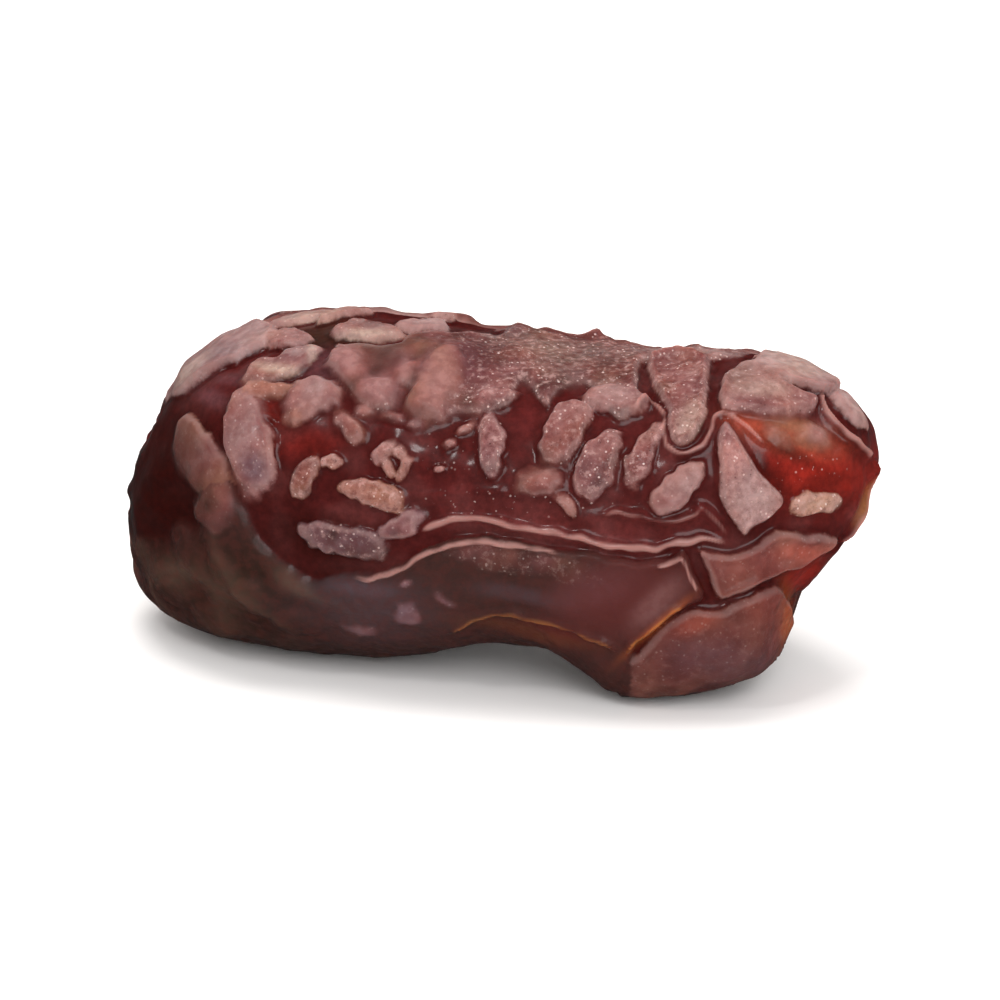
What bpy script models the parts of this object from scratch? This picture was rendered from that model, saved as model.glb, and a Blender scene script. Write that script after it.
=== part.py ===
"""A Piarom date, lying on its side: one dried fruit with its stem scar at -X and its tip at +X.

The fruit is one closed skin. Its smooth form is a row of rounded sections along X, blunt at both ends, with a
loose fold of skin that sags below the tip. Heights above that form make the blisters of dry skin, the thin
crests between them and the sunken bands of bare flesh that they stand in. Lengths are in millimetres and
angles in degrees until the mesh is made, in metres. Angles round the fruit start at its front, -Y, and rise
over the top.
"""

import math

import bpy
import numpy as np

MM = 0.001

LENGTH = 45.2
AXIS_HEIGHT = 10.1
SECTION_POWER = 2.35
STEM_END_POWER = 3.2
TIP_END_POWER = 2.6
SINK = 0.55

# Pairs of a place along X and a value there: the middle of each section above AXIS_HEIGHT, and its reach
# upwards, downwards and sideways before the ends round it off.
MIDDLE = ((-22.6, -3.1), (-20.4, -1.9), (-17, -0.3), (-12, 0.3), (0, 0.3), (12, 0.5), (15, 1.5), (19, 3.0),
          (22.6, 3.8))
UPWARD = ((-22.6, 9.2), (-19, 10.7), (-14, 10.5), (-5, 10.2), (2, 9.4), (8, 9.3), (12, 9.7), (15, 10.1),
          (19, 9.4), (22.6, 8.2))
DOWNWARD = ((-22.6, 9.4), (-17, 10.8), (-10, 10.4), (-5, 9.9), (-2, 8.8), (1, 8.2), (4, 8.3), (12, 8.5),
            (22.6, 9.2))
SIDEWAYS = ((-22.6, 9.2), (-15, 10.5), (-6, 10.5), (4, 10.2), (13, 10.4), (19, 9.6), (22.6, 8.6))
SIDE_SWAY = 0.7

# The loose fold below the tip: how far it stands out along X, and where it lies round the fruit.
FOLD = ((4.5, 0), (6.5, 0.9), (8.5, 2.3), (11, 2.8), (14, 3.4), (17, 4.0), (18.0, 3.7), (18.7, 0.6),
        (19.3, 0))
FOLD_ANGLE = -65
FOLD_SPREAD = 41

# The side that shows is measured as it is seen from 15 degrees round and 20 degrees up: u to the right of
# SEEN_MIDDLE and v above it. A mark near the edge is stretched over the skin by MOST_STRETCH at most. A place
# on the skin lies within MOST_STEP of a point of the grid that faces the eye by the cosine LEAST_FACING.
SEEN_TURN = 15
SEEN_RISE = 20
SEEN_MIDDLE = (0, 0, AXIS_HEIGHT)
MOST_STRETCH = 3.0
LEAST_FACING = 0.05
MOST_STEP = 0.3

# Plates of whole skin at the front, as outlines (u, v) that run past the fruit's edge where the skin goes on
# over it: the flank, the back, a tongue that hangs from it, the cheek beside that, a drop below the tongue, a
# plate in front of the tip, and the loose fold.
FLANK = ((-17.2, -0.9), (-16.7, 0.6), (-16.1, 1.3), (-15.5, 0.2), (-14.9, -1.3), (-14.0, -2.8),
         (-12.6, -4.0), (-11.2, -5.0), (-9.6, -4.5), (-7.2, -4.3), (-5.8, -3.8), (-4.3, -2.9), (-3.0, -2.5),
         (-1.3, -2.2), (0.5, -2.4), (2.5, -2.7), (5.0, -3.1), (8.0, -3.5), (10.0, -3.5), (10.9, -3.1),
         (11.5, -4.4), (12.2, -5.8), (11.2, -6.3), (10.0, -7.0), (8.8, -8.1), (7.8, -9.1), (7.2, -14.0),
         (-26.0, -14.0), (-26.0, -3.6), (-20.6, -2.8), (-18.6, -2.0))
BACK = ((-10.2, 10.0), (-9.8, 8.6), (-9.2, 7.0), (-8.3, 6.0), (-7.4, 5.4), (-6.5, 5.4), (-6.0, 6.4),
        (-5.6, 7.2), (-5.1, 6.6), (-4.9, 5.6), (-4.2, 5.0), (-3.2, 4.8), (-2.6, 5.3), (-1.5, 5.3),
        (0.6, 5.6), (1.1, 6.8), (1.5, 7.2), (2.2, 6.4), (2.8, 5.6), (3.4, 6.4), (4.6, 7.1), (5.4, 6.9),
        (6.1, 5.9), (6.9, 5.0), (7.6, 5.1), (8.2, 6.0), (8.4, 7.8), (8.9, 8.4), (12.8, 8.5), (14.8, 8.9),
        (16.2, 9.1), (18.6, 8.7), (20.2, 7.4), (24.0, 9.0), (24.0, 14.0), (-10.4, 14.0))
TONGUE = ((9.0, 8.8), (8.8, 8.0), (9.3, 6.6), (9.9, 5.6), (10.1, 4.2), (10.3, 3.4), (10.9, 3.2),
          (11.6, 3.7), (12.3, 4.9), (12.4, 6.5), (12.6, 8.1), (12.4, 8.8))
CHEEK = ((13.2, 5.4), (15.5, 5.2), (18.3, 5.2), (18.9, 6.1), (17.4, 6.8), (16.4, 7.7), (14.9, 8.3),
         (13.5, 7.7), (13.1, 6.5))
DROP = ((13.5, 4.7), (13.9, 4.0), (14.5, 2.9), (15.6, 1.4), (16.8, 0.1), (16.4, -0.8), (15.2, -1.6),
        (14.6, -2.1), (14.1, -1.6), (13.3, -0.4), (13.0, 1.0), (12.9, 2.8), (13.0, 4.0))
FRONT = ((11.7, -2.9), (13.8, -3.2), (15.0, -2.8), (16.5, -1.9), (18.0, -2.1), (19.5, -2.0), (20.3, -2.4),
         (19.4, -3.3), (18.0, -4.0), (16.2, -4.6), (14.8, -5.3), (13.2, -5.9), (12.4, -4.5))
LOOSE = ((8.4, -9.1), (9.4, -7.8), (11.2, -6.6), (12.6, -6.4), (13.6, -6.3), (15.0, -5.6), (16.5, -5.1),
         (17.2, -5.8), (18.2, -9.0), (18.0, -14.0), (7.6, -14.0), (7.4, -10.0))

# Each plate with its height above whole skin and the height of its curled rim. PLATE_WANDER is the length and
# the reach of the waves in an outline, and across PLATE_EDGE, from outside to inside, the skin rises.
PLATES = ((FLANK, 0.05, 0.05), (BACK, 0.1, 0.05), (TONGUE, 0.1, 0.15), (CHEEK, 0.15, 0.15),
          (DROP, 0.3, 0.05), (FRONT, 0.1, 0.25), (LOOSE, 0.2, 0.15))
PLATE_WANDER = (2.2, 0.1)
PLATE_EDGE = (-0.15, 0.3)
RIM_INSIDE = 0.25
RIM_WIDTH = 0.25

# Bare flesh lies this deep below whole skin. At the front it starts where the skin faces the eye by the
# cosines in FRONT_EDGE, and it runs out towards both ends between the two places along X of each pair.
FLESH_DEPTH = 0.75
FRONT_EDGE = (0.03, 0.2)
FRONT_ENDS = ((-20, -17), (22.5, 20.5))
PLATE_FACING = 0.15

# Blisters at the front: u, v, half length, half width, turn, height above whole skin, and how much they widen
# along the turn.
BLISTERS = (
    (-17.0, 8.8, 3.6, 1.15, 43, 0.25, 0.1),
    (-13.4, 8.5, 2.2, 0.8, 5, 0.1, -0.1),
    (-12.9, 10.2, 1.3, 0.6, 20, 0.1, 0),
    (-12.0, 9.0, 0.9, 0.6, 60, 0.1, 0),
    (-11.6, 11.2, 1.7, 0.4, 2, 0, 0),
    (-9.3, 11.2, 0.9, 0.4, -10, 0.15, 0),
    (-7.8, 10.3, 2.0, 0.55, 5, 0.25, 0.1),
    (-4.5, 10.7, 1.6, 0.3, -8, 0.2, 0),
    (-15.0, 3.6, 3.1, 1.3, -71, 0.2, 0.1),
    (-18.1, 2.3, 2.1, 1.3, -32, 0.1, 0),
    (-13.8, 6.7, 1.4, 0.6, -15, -0.1, -0.3),
    (-11.2, 6.2, 1.6, 1.4, 55, 0.1, 0.2),
    (-12.1, 5.2, 0.8, 0.6, 20, 0, 0),
    (-8.7, 7.8, 1.5, 0.9, -60, 0.4, 0),
    (-7.2, 6.6, 1.1, 0.8, -30, 0.35, 0),
    (-8.9, 4.5, 1.1, 0.6, -50, -0.1, 0.2),
    (-3.6, 7.0, 2.1, 1.4, 80, 0.45, 0),
    (-5.2, 7.7, 0.9, 0.45, 60, 0.3, 0),
    (-11.6, 1.4, 1.4, 0.7, 57, 0, -0.1),
    (-10.0, 2.3, 0.65, 0.5, 10, -0.05, 0),
    (-6.7, 2.9, 0.8, 0.45, 25, -0.15, 0),
    (-5.5, 1.9, 0.9, 0.4, 60, -0.15, 0),
    (-6.5, 2.0, 0.6, 0.35, -55, -0.2, 0),
    (-5.6, 2.8, 0.6, 0.35, -50, -0.2, 0),
    (-3.5, 2.0, 0.3, 0.25, 0, -0.35, 0),
    (-3.0, 3.5, 0.35, 0.25, 60, -0.35, 0),
    (-7.5, 0.3, 2.0, 0.8, -10, -0.1, 0.1),
    (-5.8, -1.5, 1.4, 0.75, 35, -0.05, 0.2),
    (-9.3, -2.4, 2.8, 1.0, -5, 0.05, 0.2),
    (-0.4, 3.4, 2.0, 0.75, 92, 0.1, 0),
    (-0.3, 6.1, 1.3, 0.6, 5, 0.25, 0),
    (4.0, 4.3, 2.1, 1.25, 78, 0.2, 0),
    (5.9, 2.2, 2.3, 1.15, 70, 0.15, 0),
    (2.3, 1.1, 1.3, 0.8, 10, -0.1, 0),
    (3.9, -0.2, 1.0, 0.35, -52, -0.2, -0.3),
    (8.5, 2.8, 2.2, 0.75, 72, 0.05, -0.1),
    (10.6, 0.8, 2.0, 0.95, 45, 0.15, 0),
    (6.9, 6.1, 1.4, 0.8, -40, 0.3, 0),
    (17.8, 7.9, 2.5, 0.9, -25, 0.3, 0),
    (20.9, 5.5, 1.5, 0.65, -55, 0.2, 0),
    (18.9, 4.0, 1.0, 0.6, -10, -0.3, 0),
    (16.6, 4.0, 0.9, 0.5, -35, -0.35, 0),
    (19.0, -0.3, 1.4, 0.7, -10, -0.05, 0),
    (-5.5, -6.7, 0.9, 0.6, 0, 0.25, 0),
    (-5.6, -4.9, 0.5, 0.3, 20, 0.2, 0),
    (-8.0, -7.6, 1.0, 0.3, 3, 0.2, 0),
    (-14.5, -5.6, 1.8, 0.9, -20, 0.2, 0),
    (-18.3, -3.4, 1.5, 0.9, -30, 0.2, 0),
    (2.4, -3.9, 2.6, 0.55, -2, 0.15, 0),
)

# A blister's outline is an oblong of this squareness that wanders by waves of each length and reach. It rises
# across BLISTER_EDGE, from outside to inside, to a domed top. It marks the skin to BLISTER_DEPTH below.
BLISTER_SQUARENESS = 2.4
BLISTER_WANDER = ((2.6, 0.2), (1.1, 0.08))
BLISTER_EDGE = (-0.12, 0.28)
BLISTER_DEPTH = 2.5
DOME_HEIGHT = 0.15
DOME_REACH = 1.2

# Crests at the front, as the points (u, v) that each runs through.
CRESTS = (
    ((-4.8, -2.2), (-4.2, -1.7), (-3.2, -1.3), (-2.0, -1.1), (-0.5, -1.2), (1.0, -1.6), (3.0, -1.9),
     (4.5, -2.2), (6.5, -2.7), (9.0, -2.9), (10.0, -2.7), (11.5, -2.4), (13.0, -2.4), (14.3, -2.9)),
    ((-9.6, -4.7), (-7.2, -4.5), (-5.8, -4.0), (-4.3, -3.1), (-3.0, -2.7), (-1.3, -2.4), (0.5, -2.6),
     (2.5, -2.9), (5.0, -3.3)),
    ((9.2, -3.8), (10.3, -3.6), (10.8, -3.4), (11.3, -4.5), (12.0, -5.8)),
    ((7.4, -9.0), (8.7, -7.9), (10.0, -6.8), (11.1, -6.1)),
    ((-3.6, -7.8), (-1.5, -7.0), (0.0, -6.7), (2.0, -6.9), (3.5, -7.2), (5.0, -7.8), (6.4, -8.4),
     (7.4, -9.0)),
    ((-5.0, 0.2), (-3.5, 0.3), (-1.5, 0.5), (1.2, 0.5)),
    ((5.0, -1.1), (7.0, -0.8), (8.5, -1.0), (9.5, -1.3), (10.5, -1.2), (11.5, -0.9), (12.0, -0.4),
     (12.4, -0.8), (13.2, -1.8), (14.2, -2.9)),
    ((7.6, 4.6), (8.1, 5.4), (8.6, 5.9), (9.2, 5.9), (9.7, 5.3), (9.8, 4.0), (9.9, 3.1), (10.8, 2.8),
     (11.9, 3.1), (12.4, 4.0), (12.7, 4.8), (13.2, 5.2), (13.9, 5.0), (14.7, 4.4), (15.6, 3.5),
     (16.6, 3.0)),
    ((8.8, 8.2), (10.5, 8.4), (12.6, 8.2)),
    ((19.2, 6.5), (19.4, 5.4), (20.3, 4.2), (21.4, 3.1), (22.1, 2.5)),
    ((22.1, 2.4), (22.0, 1.0), (21.5, -0.6), (20.8, -1.9), (20.2, -2.5)),
    ((-15.8, 6.0), (-14.9, 6.5), (-13.9, 5.3), (-12.9, 4.2)),
    ((-13.6, -1.5), (-12.9, -1.2), (-11.6, -1.8), (-10.6, -1.5)),
)
CREST_HEIGHT = 0.5
CREST_WIDTH = 0.27
CREST_UNEVENNESS = 0.3

# The side turned away: a sunken band of bare flesh between two angles, with the softness of its edges and how
# far they wander, and where it runs out along X.
REAR_BAND = (146, 214)
REAR_EDGE = 4
REAR_WANDER = 3.5
REAR_ENDS = ((-17, -14), (18, 15))

# The blisters there, thrown between two angles and up to REAR_REACH along X from REAR_MIDDLE, each at least
# REAR_GAP of two half lengths from the next. Half sizes, heights and tapers are drawn from these ranges.
REAR_BLISTERS = 46
REAR_TRIES = 4000
REAR_ROOM = (118, 252)
REAR_MIDDLE = -0.5
REAR_REACH = 18.5
REAR_GAP = 0.78
REAR_LONG = (1.2, 2.7)
REAR_WIDE = (0.8, 1.35)
REAR_TURN = 0.9
REAR_CROSSWISE = 0.4
REAR_HEIGHT = (-0.05, 0.25)
REAR_TAPER = (-0.3, 0.3)

# The crests there, one near each angle. They wander by waves of each reach and length over most of the fruit.
REAR_CRESTS = (128, 152, 186, 222, 246)
REAR_CREST_END = 19
REAR_CREST_SPARE = 6
REAR_CREST_WAVES = ((7, 3.1), (4, 1.3))

# Soft folds in the whole skin, each a wavelength and a height. Below, where the fruit lies, all relief is
# pressed to this share of its height within the angles and the places along X.
FOLDS = ((7, 0.18), (3, 0.08))
LYING_SHARE = 0.25
LYING_ANGLES = (38, 20)
LYING_ENDS = (20, 15)

# The stem scar's pit, whose side runs from the outer to the inner radius, the rim round it, by its radius,
# width and height, and the point at the tip, by its reach and height.
SCAR_DEPTH = 0.8
SCAR_EDGE = (1.725, 0.9)
SCAR_RIM = (2.1, 0.5, 0.3)
TIP_POINT = (0.6, 0.35)

ROWS = 300
COLUMNS = 300
KEPT_SHARE = 0.062
SEED = 7


def smooth(start, end, value):
    """0 before start and 1 past end, with an even S between them."""
    t = np.clip((value - start) / (end - start), 0, 1)
    return t * t * (3 - 2 * t)


def rounded(pairs, x, blur=1.6):
    """The broken line through pairs at x, averaged over blur to each side, so that its corners are round."""
    places, values = zip(*pairs)
    return sum(np.interp(x + shift * blur, places, values) for shift in (-1, -0.5, 0, 0.5, 1)) / 5


def ripple(points, wavelength, seed, waves=14):
    """A smooth random height of about -1 to 1 in space: plane waves in seeded directions, added up."""
    draw = np.random.default_rng(seed)
    directions = draw.normal(size=(waves, 3))
    directions *= 2 * math.pi / wavelength / np.linalg.norm(directions, axis=1)[:, None]
    directions *= draw.uniform(0.7, 1.5, (waves, 1))
    phases = draw.uniform(0, 2 * math.pi, waves)
    return sum(np.sin(points @ d + p) for d, p in zip(directions, phases)) / math.sqrt(2 * waves)


def through(points, steps=8):
    """A smooth curve through points (Catmull-Rom), with steps places on each stretch."""
    p = np.array(points, float)
    p = np.vstack([2 * p[0] - p[1], p, 2 * p[-1] - p[-2]])
    before, start, end, after = (p[k : len(p) - 3 + k, None] for k in range(4))
    t = np.linspace(0, 1, steps, endpoint=False)[:, None]
    bend = (2 * before - 5 * start + 4 * end - after) * t**2 + (3 * start - before - 3 * end + after) * t**3
    return (start + ((end - before) * t + bend) / 2).reshape(-1, p.shape[-1])


def section(x, angle):
    """The skin's place at x and angle: a rounded section about a middle that sways."""
    half = LENGTH / 2
    power = np.where(x < 0, STEM_END_POWER, TIP_END_POWER)
    closing = np.clip(1 - np.abs(x / half) ** power, 0, 1) ** (1 / power)
    forward, upward = np.cos(angle), np.sin(angle)
    tall = np.where(upward > 0, rounded(UPWARD, x), rounded(DOWNWARD, x))
    wide = rounded(SIDEWAYS, x)
    oblong = (np.abs(forward) / wide) ** SECTION_POWER + (np.abs(upward) / tall) ** SECTION_POWER
    reach = closing * oblong ** (-1 / SECTION_POWER)
    from_fold = (np.degrees(angle) - FOLD_ANGLE + 180) % 360 - 180
    reach = reach + rounded(FOLD, x, 0.4) * np.exp(-((np.abs(from_fold) / FOLD_SPREAD) ** 3))
    y = SIDE_SWAY * (x / half) ** 2 - reach * forward
    z = AXIS_HEIGHT + rounded(MIDDLE, x) + reach * upward
    return np.stack([x, y, z], -1)


def smooth_form(rows, columns):
    """A grid over the smooth form, evenly spaced along each line from the stem end to the tip.

    Gives the places, the outward normals, the directions along and around the grid, and each x and angle.
    """
    angle = np.linspace(-math.pi, math.pi, columns, endpoint=False)
    tight = np.sin(np.linspace(-math.pi / 2, math.pi / 2, 4 * rows))[:, None] * LENGTH / 2
    lines = section(*np.broadcast_arrays(tight, angle[None, :]))
    steps = np.linalg.norm(np.diff(lines, axis=0), axis=-1)
    run = np.vstack([np.zeros(columns), np.cumsum(steps, axis=0)])
    share = np.linspace(0, 1, rows + 1)
    x = np.stack([np.interp(share * run[-1, k], run[:, k], tight[:, 0]) for k in range(columns)], 1)
    angle = np.broadcast_to(angle, x.shape)
    places = section(x, angle)
    along = np.gradient(places, axis=0)
    around = (np.roll(places, -1, axis=1) - np.roll(places, 1, axis=1)) / 2
    along[[0, -1]] = along[[1, -2]]
    around[[0, -1]] = around[[1, -2]]
    normals = np.cross(along, around)
    for field in (normals, along, around):
        field /= np.linalg.norm(field, axis=-1)[..., None]
    normals[0] = (-1, 0, 0)
    normals[-1] = (1, 0, 0)
    return places, normals, along, around, x, angle


def seen_axes():
    """The directions to the right, upwards and towards the eye of the view that u and v are measured in."""
    turn, rise = math.radians(SEEN_TURN), math.radians(SEEN_RISE)
    right = np.array([math.cos(turn), math.sin(turn), 0])
    towards = np.array([math.sin(turn) * math.cos(rise), -math.cos(turn) * math.cos(rise), math.sin(rise)])
    return right, np.cross(towards, right), towards


def on_skin(form, seen):
    """Where points (u, v) show on the skin: the places, the grid's directions there and how to raise them.

    The last turns a step in the view into the step on the skin that shows so, as parts of the two directions.
    """
    places, normals, along, around = (field.reshape(-1, 3) for field in form[:4])
    right, up, towards = seen_axes()
    shown = np.stack([(places - SEEN_MIDDLE) @ right, (places - SEEN_MIDDLE) @ up], -1)
    hidden = LENGTH**2 * (normals @ towards < LEAST_FACING)
    index = np.array([np.argmin(np.sum((shown - point) ** 2, -1) + hidden) for point in np.asarray(seen)])
    along, around = along[index], around[index]
    rightward = np.stack([along @ right, around @ right], -1)
    upward = np.stack([along @ up, around @ up], -1)
    raised = np.linalg.inv(np.stack([rightward, upward], -2))
    step = np.clip(np.einsum("nij,nj->ni", raised, seen - shown[index]), -MOST_STEP, MOST_STEP)
    spots = places[index] + step[:, :1] * along + step[:, 1:] * around
    return spots, normals[index], along, around, raised


def front_blisters(form):
    """Each blister's centre, normal, long and wide half axes on the skin, height and taper."""
    seen = np.array(BLISTERS, float)
    centre, normal, along, around, raised = on_skin(form, seen[:, :2])
    turn = np.radians(seen[:, 4])
    heading = np.stack([np.cos(turn), np.sin(turn)], -1)
    square = np.stack([-np.sin(turn), np.cos(turn)], -1)
    axes = []
    for direction, size in ((heading, seen[:, 2]), (square, seen[:, 3])):
        mix = np.einsum("nij,nj->ni", raised, direction)
        axis = mix[:, :1] * along + mix[:, 1:] * around
        stretch = np.linalg.norm(axis, axis=1)
        axes.append(axis * (size * np.minimum(1, MOST_STRETCH / stretch))[:, None])
    return [list(row) for row in zip(centre, normal, *axes, seen[:, 5], seen[:, 6])]


def rear_blisters(form, taken):
    """Blisters over the side turned away, thrown at random and kept where they clear those already there."""
    draw = np.random.default_rng(SEED)
    x = form[4]
    degrees = np.degrees(form[5]) % 360
    room = (degrees > REAR_ROOM[0]) & (degrees < REAR_ROOM[1]) & (np.abs(x - REAR_MIDDLE) < REAR_REACH)
    kept = []
    for index in draw.permutation(np.flatnonzero(room))[:REAR_TRIES]:
        if len(kept) == REAR_BLISTERS:
            break
        centre, normal, forth, across = (field.reshape(-1, 3)[index] for field in form[:4])
        long, wide = draw.uniform(*REAR_LONG), draw.uniform(*REAR_WIDE)
        turn = draw.normal(0, REAR_TURN) + math.pi / 2 * (draw.random() < REAR_CROSSWISE)
        gaps = (np.linalg.norm(centre - other[0]) / (long + np.linalg.norm(other[2])) for other in taken + kept)
        if min(gaps) < REAR_GAP:
            continue
        heading = math.cos(turn) * forth + math.sin(turn) * across
        square = math.cos(turn) * across - math.sin(turn) * forth
        kept.append([centre, normal, heading * long, square * wide, draw.uniform(*REAR_HEIGHT),
                     draw.uniform(*REAR_TAPER)])
    return kept


def blister_cover(places, blisters):
    """How much of each place the blisters cover, and how high they stand there above whole skin.

    A blister is a rounded oblong on the skin with a wandering outline, a steep edge and a domed top.
    """
    spread = places.copy()
    for first, (wavelength, reach) in zip((SEED, SEED + 5), BLISTER_WANDER):
        spread += reach * np.stack([ripple(places, wavelength, first + k) for k in range(3)], -1)
    cover = np.zeros(places.shape[:-1])
    above = np.zeros(places.shape[:-1])
    for centre, normal, long, wide, height, taper in blisters:
        offset = spread - centre
        forth = offset @ long / (long @ long)
        across = offset @ wide / (wide @ wide) / (1 + taper * np.clip(forth, -1.2, 1.2))
        deep = offset @ normal / BLISTER_DEPTH
        reach = sum(np.abs(part) ** BLISTER_SQUARENESS for part in (forth, across, deep))
        inside = (1 - reach ** (1 / BLISTER_SQUARENESS)) * min(math.sqrt(wide @ wide), math.sqrt(long @ long))
        one = smooth(*BLISTER_EDGE, inside)
        above = np.maximum(above, one * (height + FLESH_DEPTH + DOME_HEIGHT * smooth(0, DOME_REACH, inside)))
        cover = np.maximum(cover, one)
    return cover, above - FLESH_DEPTH * cover


def inside_outline(shown, outline):
    """The distance from each shown place to a closed outline, positive inside it."""
    corners = through(outline + outline[:1], 3)
    distance = np.full(shown.shape[:-1], 99.0)
    crossings = np.zeros(shown.shape[:-1], bool)
    for start, end in zip(corners, np.roll(corners, -1, axis=0)):
        run = end - start
        offset = shown - start
        share = np.clip(offset @ run / (run @ run + 1e-9), 0, 1)
        distance = np.minimum(distance, np.hypot(*np.moveaxis(offset - share[..., None] * run, -1, 0)))
        spans = (start[1] > shown[..., 1]) != (end[1] > shown[..., 1])
        climb = run[1] if run[1] else 1e-9
        crossings ^= spans & (shown[..., 0] < start[0] + (shown[..., 1] - start[1]) / climb * run[0])
    return np.where(crossings, distance, -distance)


def plate_cover(form):
    """How much of each place at the front the plates cover, and how high they stand above whole skin."""
    places = form[0]
    right, up, _ = seen_axes()
    shown = np.stack([(places - SEEN_MIDDLE) @ right, (places - SEEN_MIDDLE) @ up], -1)
    wavelength, reach = PLATE_WANDER
    shown += reach * np.stack([ripple(places, wavelength, SEED + 20 + k) for k in range(2)], -1)
    cover = np.zeros(places.shape[:-1])
    above = np.zeros(places.shape[:-1])
    for outline, height, rim in PLATES:
        inside = inside_outline(shown, outline)
        one = smooth(*PLATE_EDGE, inside)
        curl = rim * np.exp(-(((inside - RIM_INSIDE) / RIM_WIDTH) ** 2))
        above = np.maximum(above, one * (height + FLESH_DEPTH) + curl)
        cover = np.maximum(cover, one)
    return cover, above - FLESH_DEPTH * cover


def crest_lines(form):
    """Every crest as a row of places on the skin: those at the front as seen, those at the rear as waves."""
    lines = [on_skin(form, through(points))[0] for points in CRESTS]
    draw = np.random.default_rng(SEED + 50)
    for middle in REAR_CRESTS:
        ends = sorted(draw.uniform(-REAR_CREST_END, REAR_CREST_END, 2) + (-REAR_CREST_SPARE, REAR_CREST_SPARE))
        run = np.linspace(*np.clip(ends, -REAR_CREST_END, REAR_CREST_END), 90)
        waves = sum(reach * np.sin(run / length + draw.uniform(0, 6)) for reach, length in REAR_CREST_WAVES)
        lines.append(section(run, np.radians(middle + waves)))
    return lines


def crest_heights(places, lines):
    """The crests' height at each place, from its distance to the nearest crest."""
    distance = np.full(places.shape[:-1], 9.0)
    for line in lines:
        for spot in line:
            distance = np.minimum(distance, np.linalg.norm(places - spot, axis=-1))
    unevenness = CREST_UNEVENNESS * (ripple(places, 5, SEED + 70) - 0.5)
    return np.exp(-((distance / CREST_WIDTH) ** 2)) * (1 + unevenness)


def bare_flesh(form):
    """1 where the skin is bare but for plates and blisters, at the front and in the rear band, else 0."""
    x = form[4]
    turned = np.degrees(form[5]) % 360
    front = smooth(*FRONT_EDGE, form[1] @ seen_axes()[2])
    wander = REAR_WANDER * ripple(form[0], 4, SEED + 80)
    rear = smooth(-REAR_EDGE, REAR_EDGE, turned - REAR_BAND[0] + wander)
    rear = rear * smooth(-REAR_EDGE, REAR_EDGE, REAR_BAND[1] - turned + wander)
    for ends, part in ((FRONT_ENDS, front), (REAR_ENDS, rear)):
        part *= smooth(*ends[0], x) * smooth(*ends[1], x)
    return front, rear


def end_marks(places):
    """The stem scar, a round pit in a low rim at -X, and the small point left by the flower at +X."""
    stem = np.linalg.norm(places - section(np.array(-LENGTH / 2), np.array(0.0)), axis=-1)
    tip = np.linalg.norm(places - section(np.array(LENGTH / 2), np.array(0.0)), axis=-1)
    pit = -SCAR_DEPTH * smooth(*SCAR_EDGE, stem)
    radius, width, height = SCAR_RIM
    rim = height * np.exp(-(((stem - radius) / width) ** 2))
    reach, point = TIP_POINT
    return pit + rim + point * np.exp(-((tip / reach) ** 2))


def skin_heights(form):
    """The height of the skin above the smooth form at each place of the grid."""
    places, x, angle = form[0], form[4], form[5]
    front, rear = bare_flesh(form)
    seen_side = front_blisters(form)
    blister, blister_top = blister_cover(places, seen_side + rear_blisters(form, seen_side))
    plate, plate_top = plate_cover(form)
    facing = smooth(0, PLATE_FACING, front)
    cover = np.maximum(blister, plate * facing)
    bare = np.maximum(front, rear) * (1 - cover)
    tops = np.maximum(np.maximum(blister_top, plate_top * facing), 0)
    folds = sum(height * ripple(places, length, SEED + 90 + k) for k, (length, height) in enumerate(FOLDS))
    crests = CREST_HEIGHT * crest_heights(places, crest_lines(form))
    heights = folds - FLESH_DEPTH * bare + tops + crests
    from_below = np.abs((np.degrees(angle) + 270) % 360 - 180)
    lying = smooth(*LYING_ANGLES, from_below) * smooth(*LYING_ENDS, np.abs(x))
    return heights * (1 - (1 - LYING_SHARE) * lying) + end_marks(places)


def date_skin(rows, columns):
    """The finished skin as a grid of places, sunk a little below the table that will cut it flat."""
    form = smooth_form(rows, columns)
    places = form[0] + form[1] * skin_heights(form)[..., None]
    low, high = places.min((0, 1)), places.max((0, 1))
    return places - ((low[0] + high[0]) / 2, (low[1] + high[1]) / 2, SINK)


def grid_faces(rows, columns):
    """Faces over a grid whose first and last rows are one point each and whose columns close into a ring."""
    ring = np.arange(columns)
    following = np.roll(ring, -1)
    start = 1 + np.arange(rows - 2)[:, None] * columns
    beyond = start + columns
    quads = np.stack([start + ring, beyond + ring, beyond + following, start + following], -1)
    last = (rows - 1) * columns + 1
    stem = [(0, a, b) for a, b in zip(1 + ring, 1 + following)]
    tip = [(last, b, a) for a, b in zip(last - columns + ring, last - columns + following)]
    return quads.reshape(-1, 4).tolist() + stem + tip


def skin_material():
    """Dark red-brown, half glossy skin."""
    material = bpy.data.materials.new("date skin")
    material.use_nodes = True
    shader = material.node_tree.nodes["Principled BSDF"]
    shader.inputs["Base Color"].default_value = (0.13, 0.035, 0.03, 1)
    shader.inputs["Roughness"].default_value = 0.42
    shader.inputs["Metallic"].default_value = 0
    return material


def table_cutter():
    """A block whose top is the table, which flattens the skin where the fruit lies on it."""
    side = 2 * LENGTH * MM
    bpy.ops.mesh.primitive_cube_add(size=side, location=(0, 0, -side / 2))
    cutter = bpy.context.object
    cutter.name = "table cutter"
    cutter.hide_render = True
    cutter.display_type = "WIRE"
    return cutter


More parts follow.
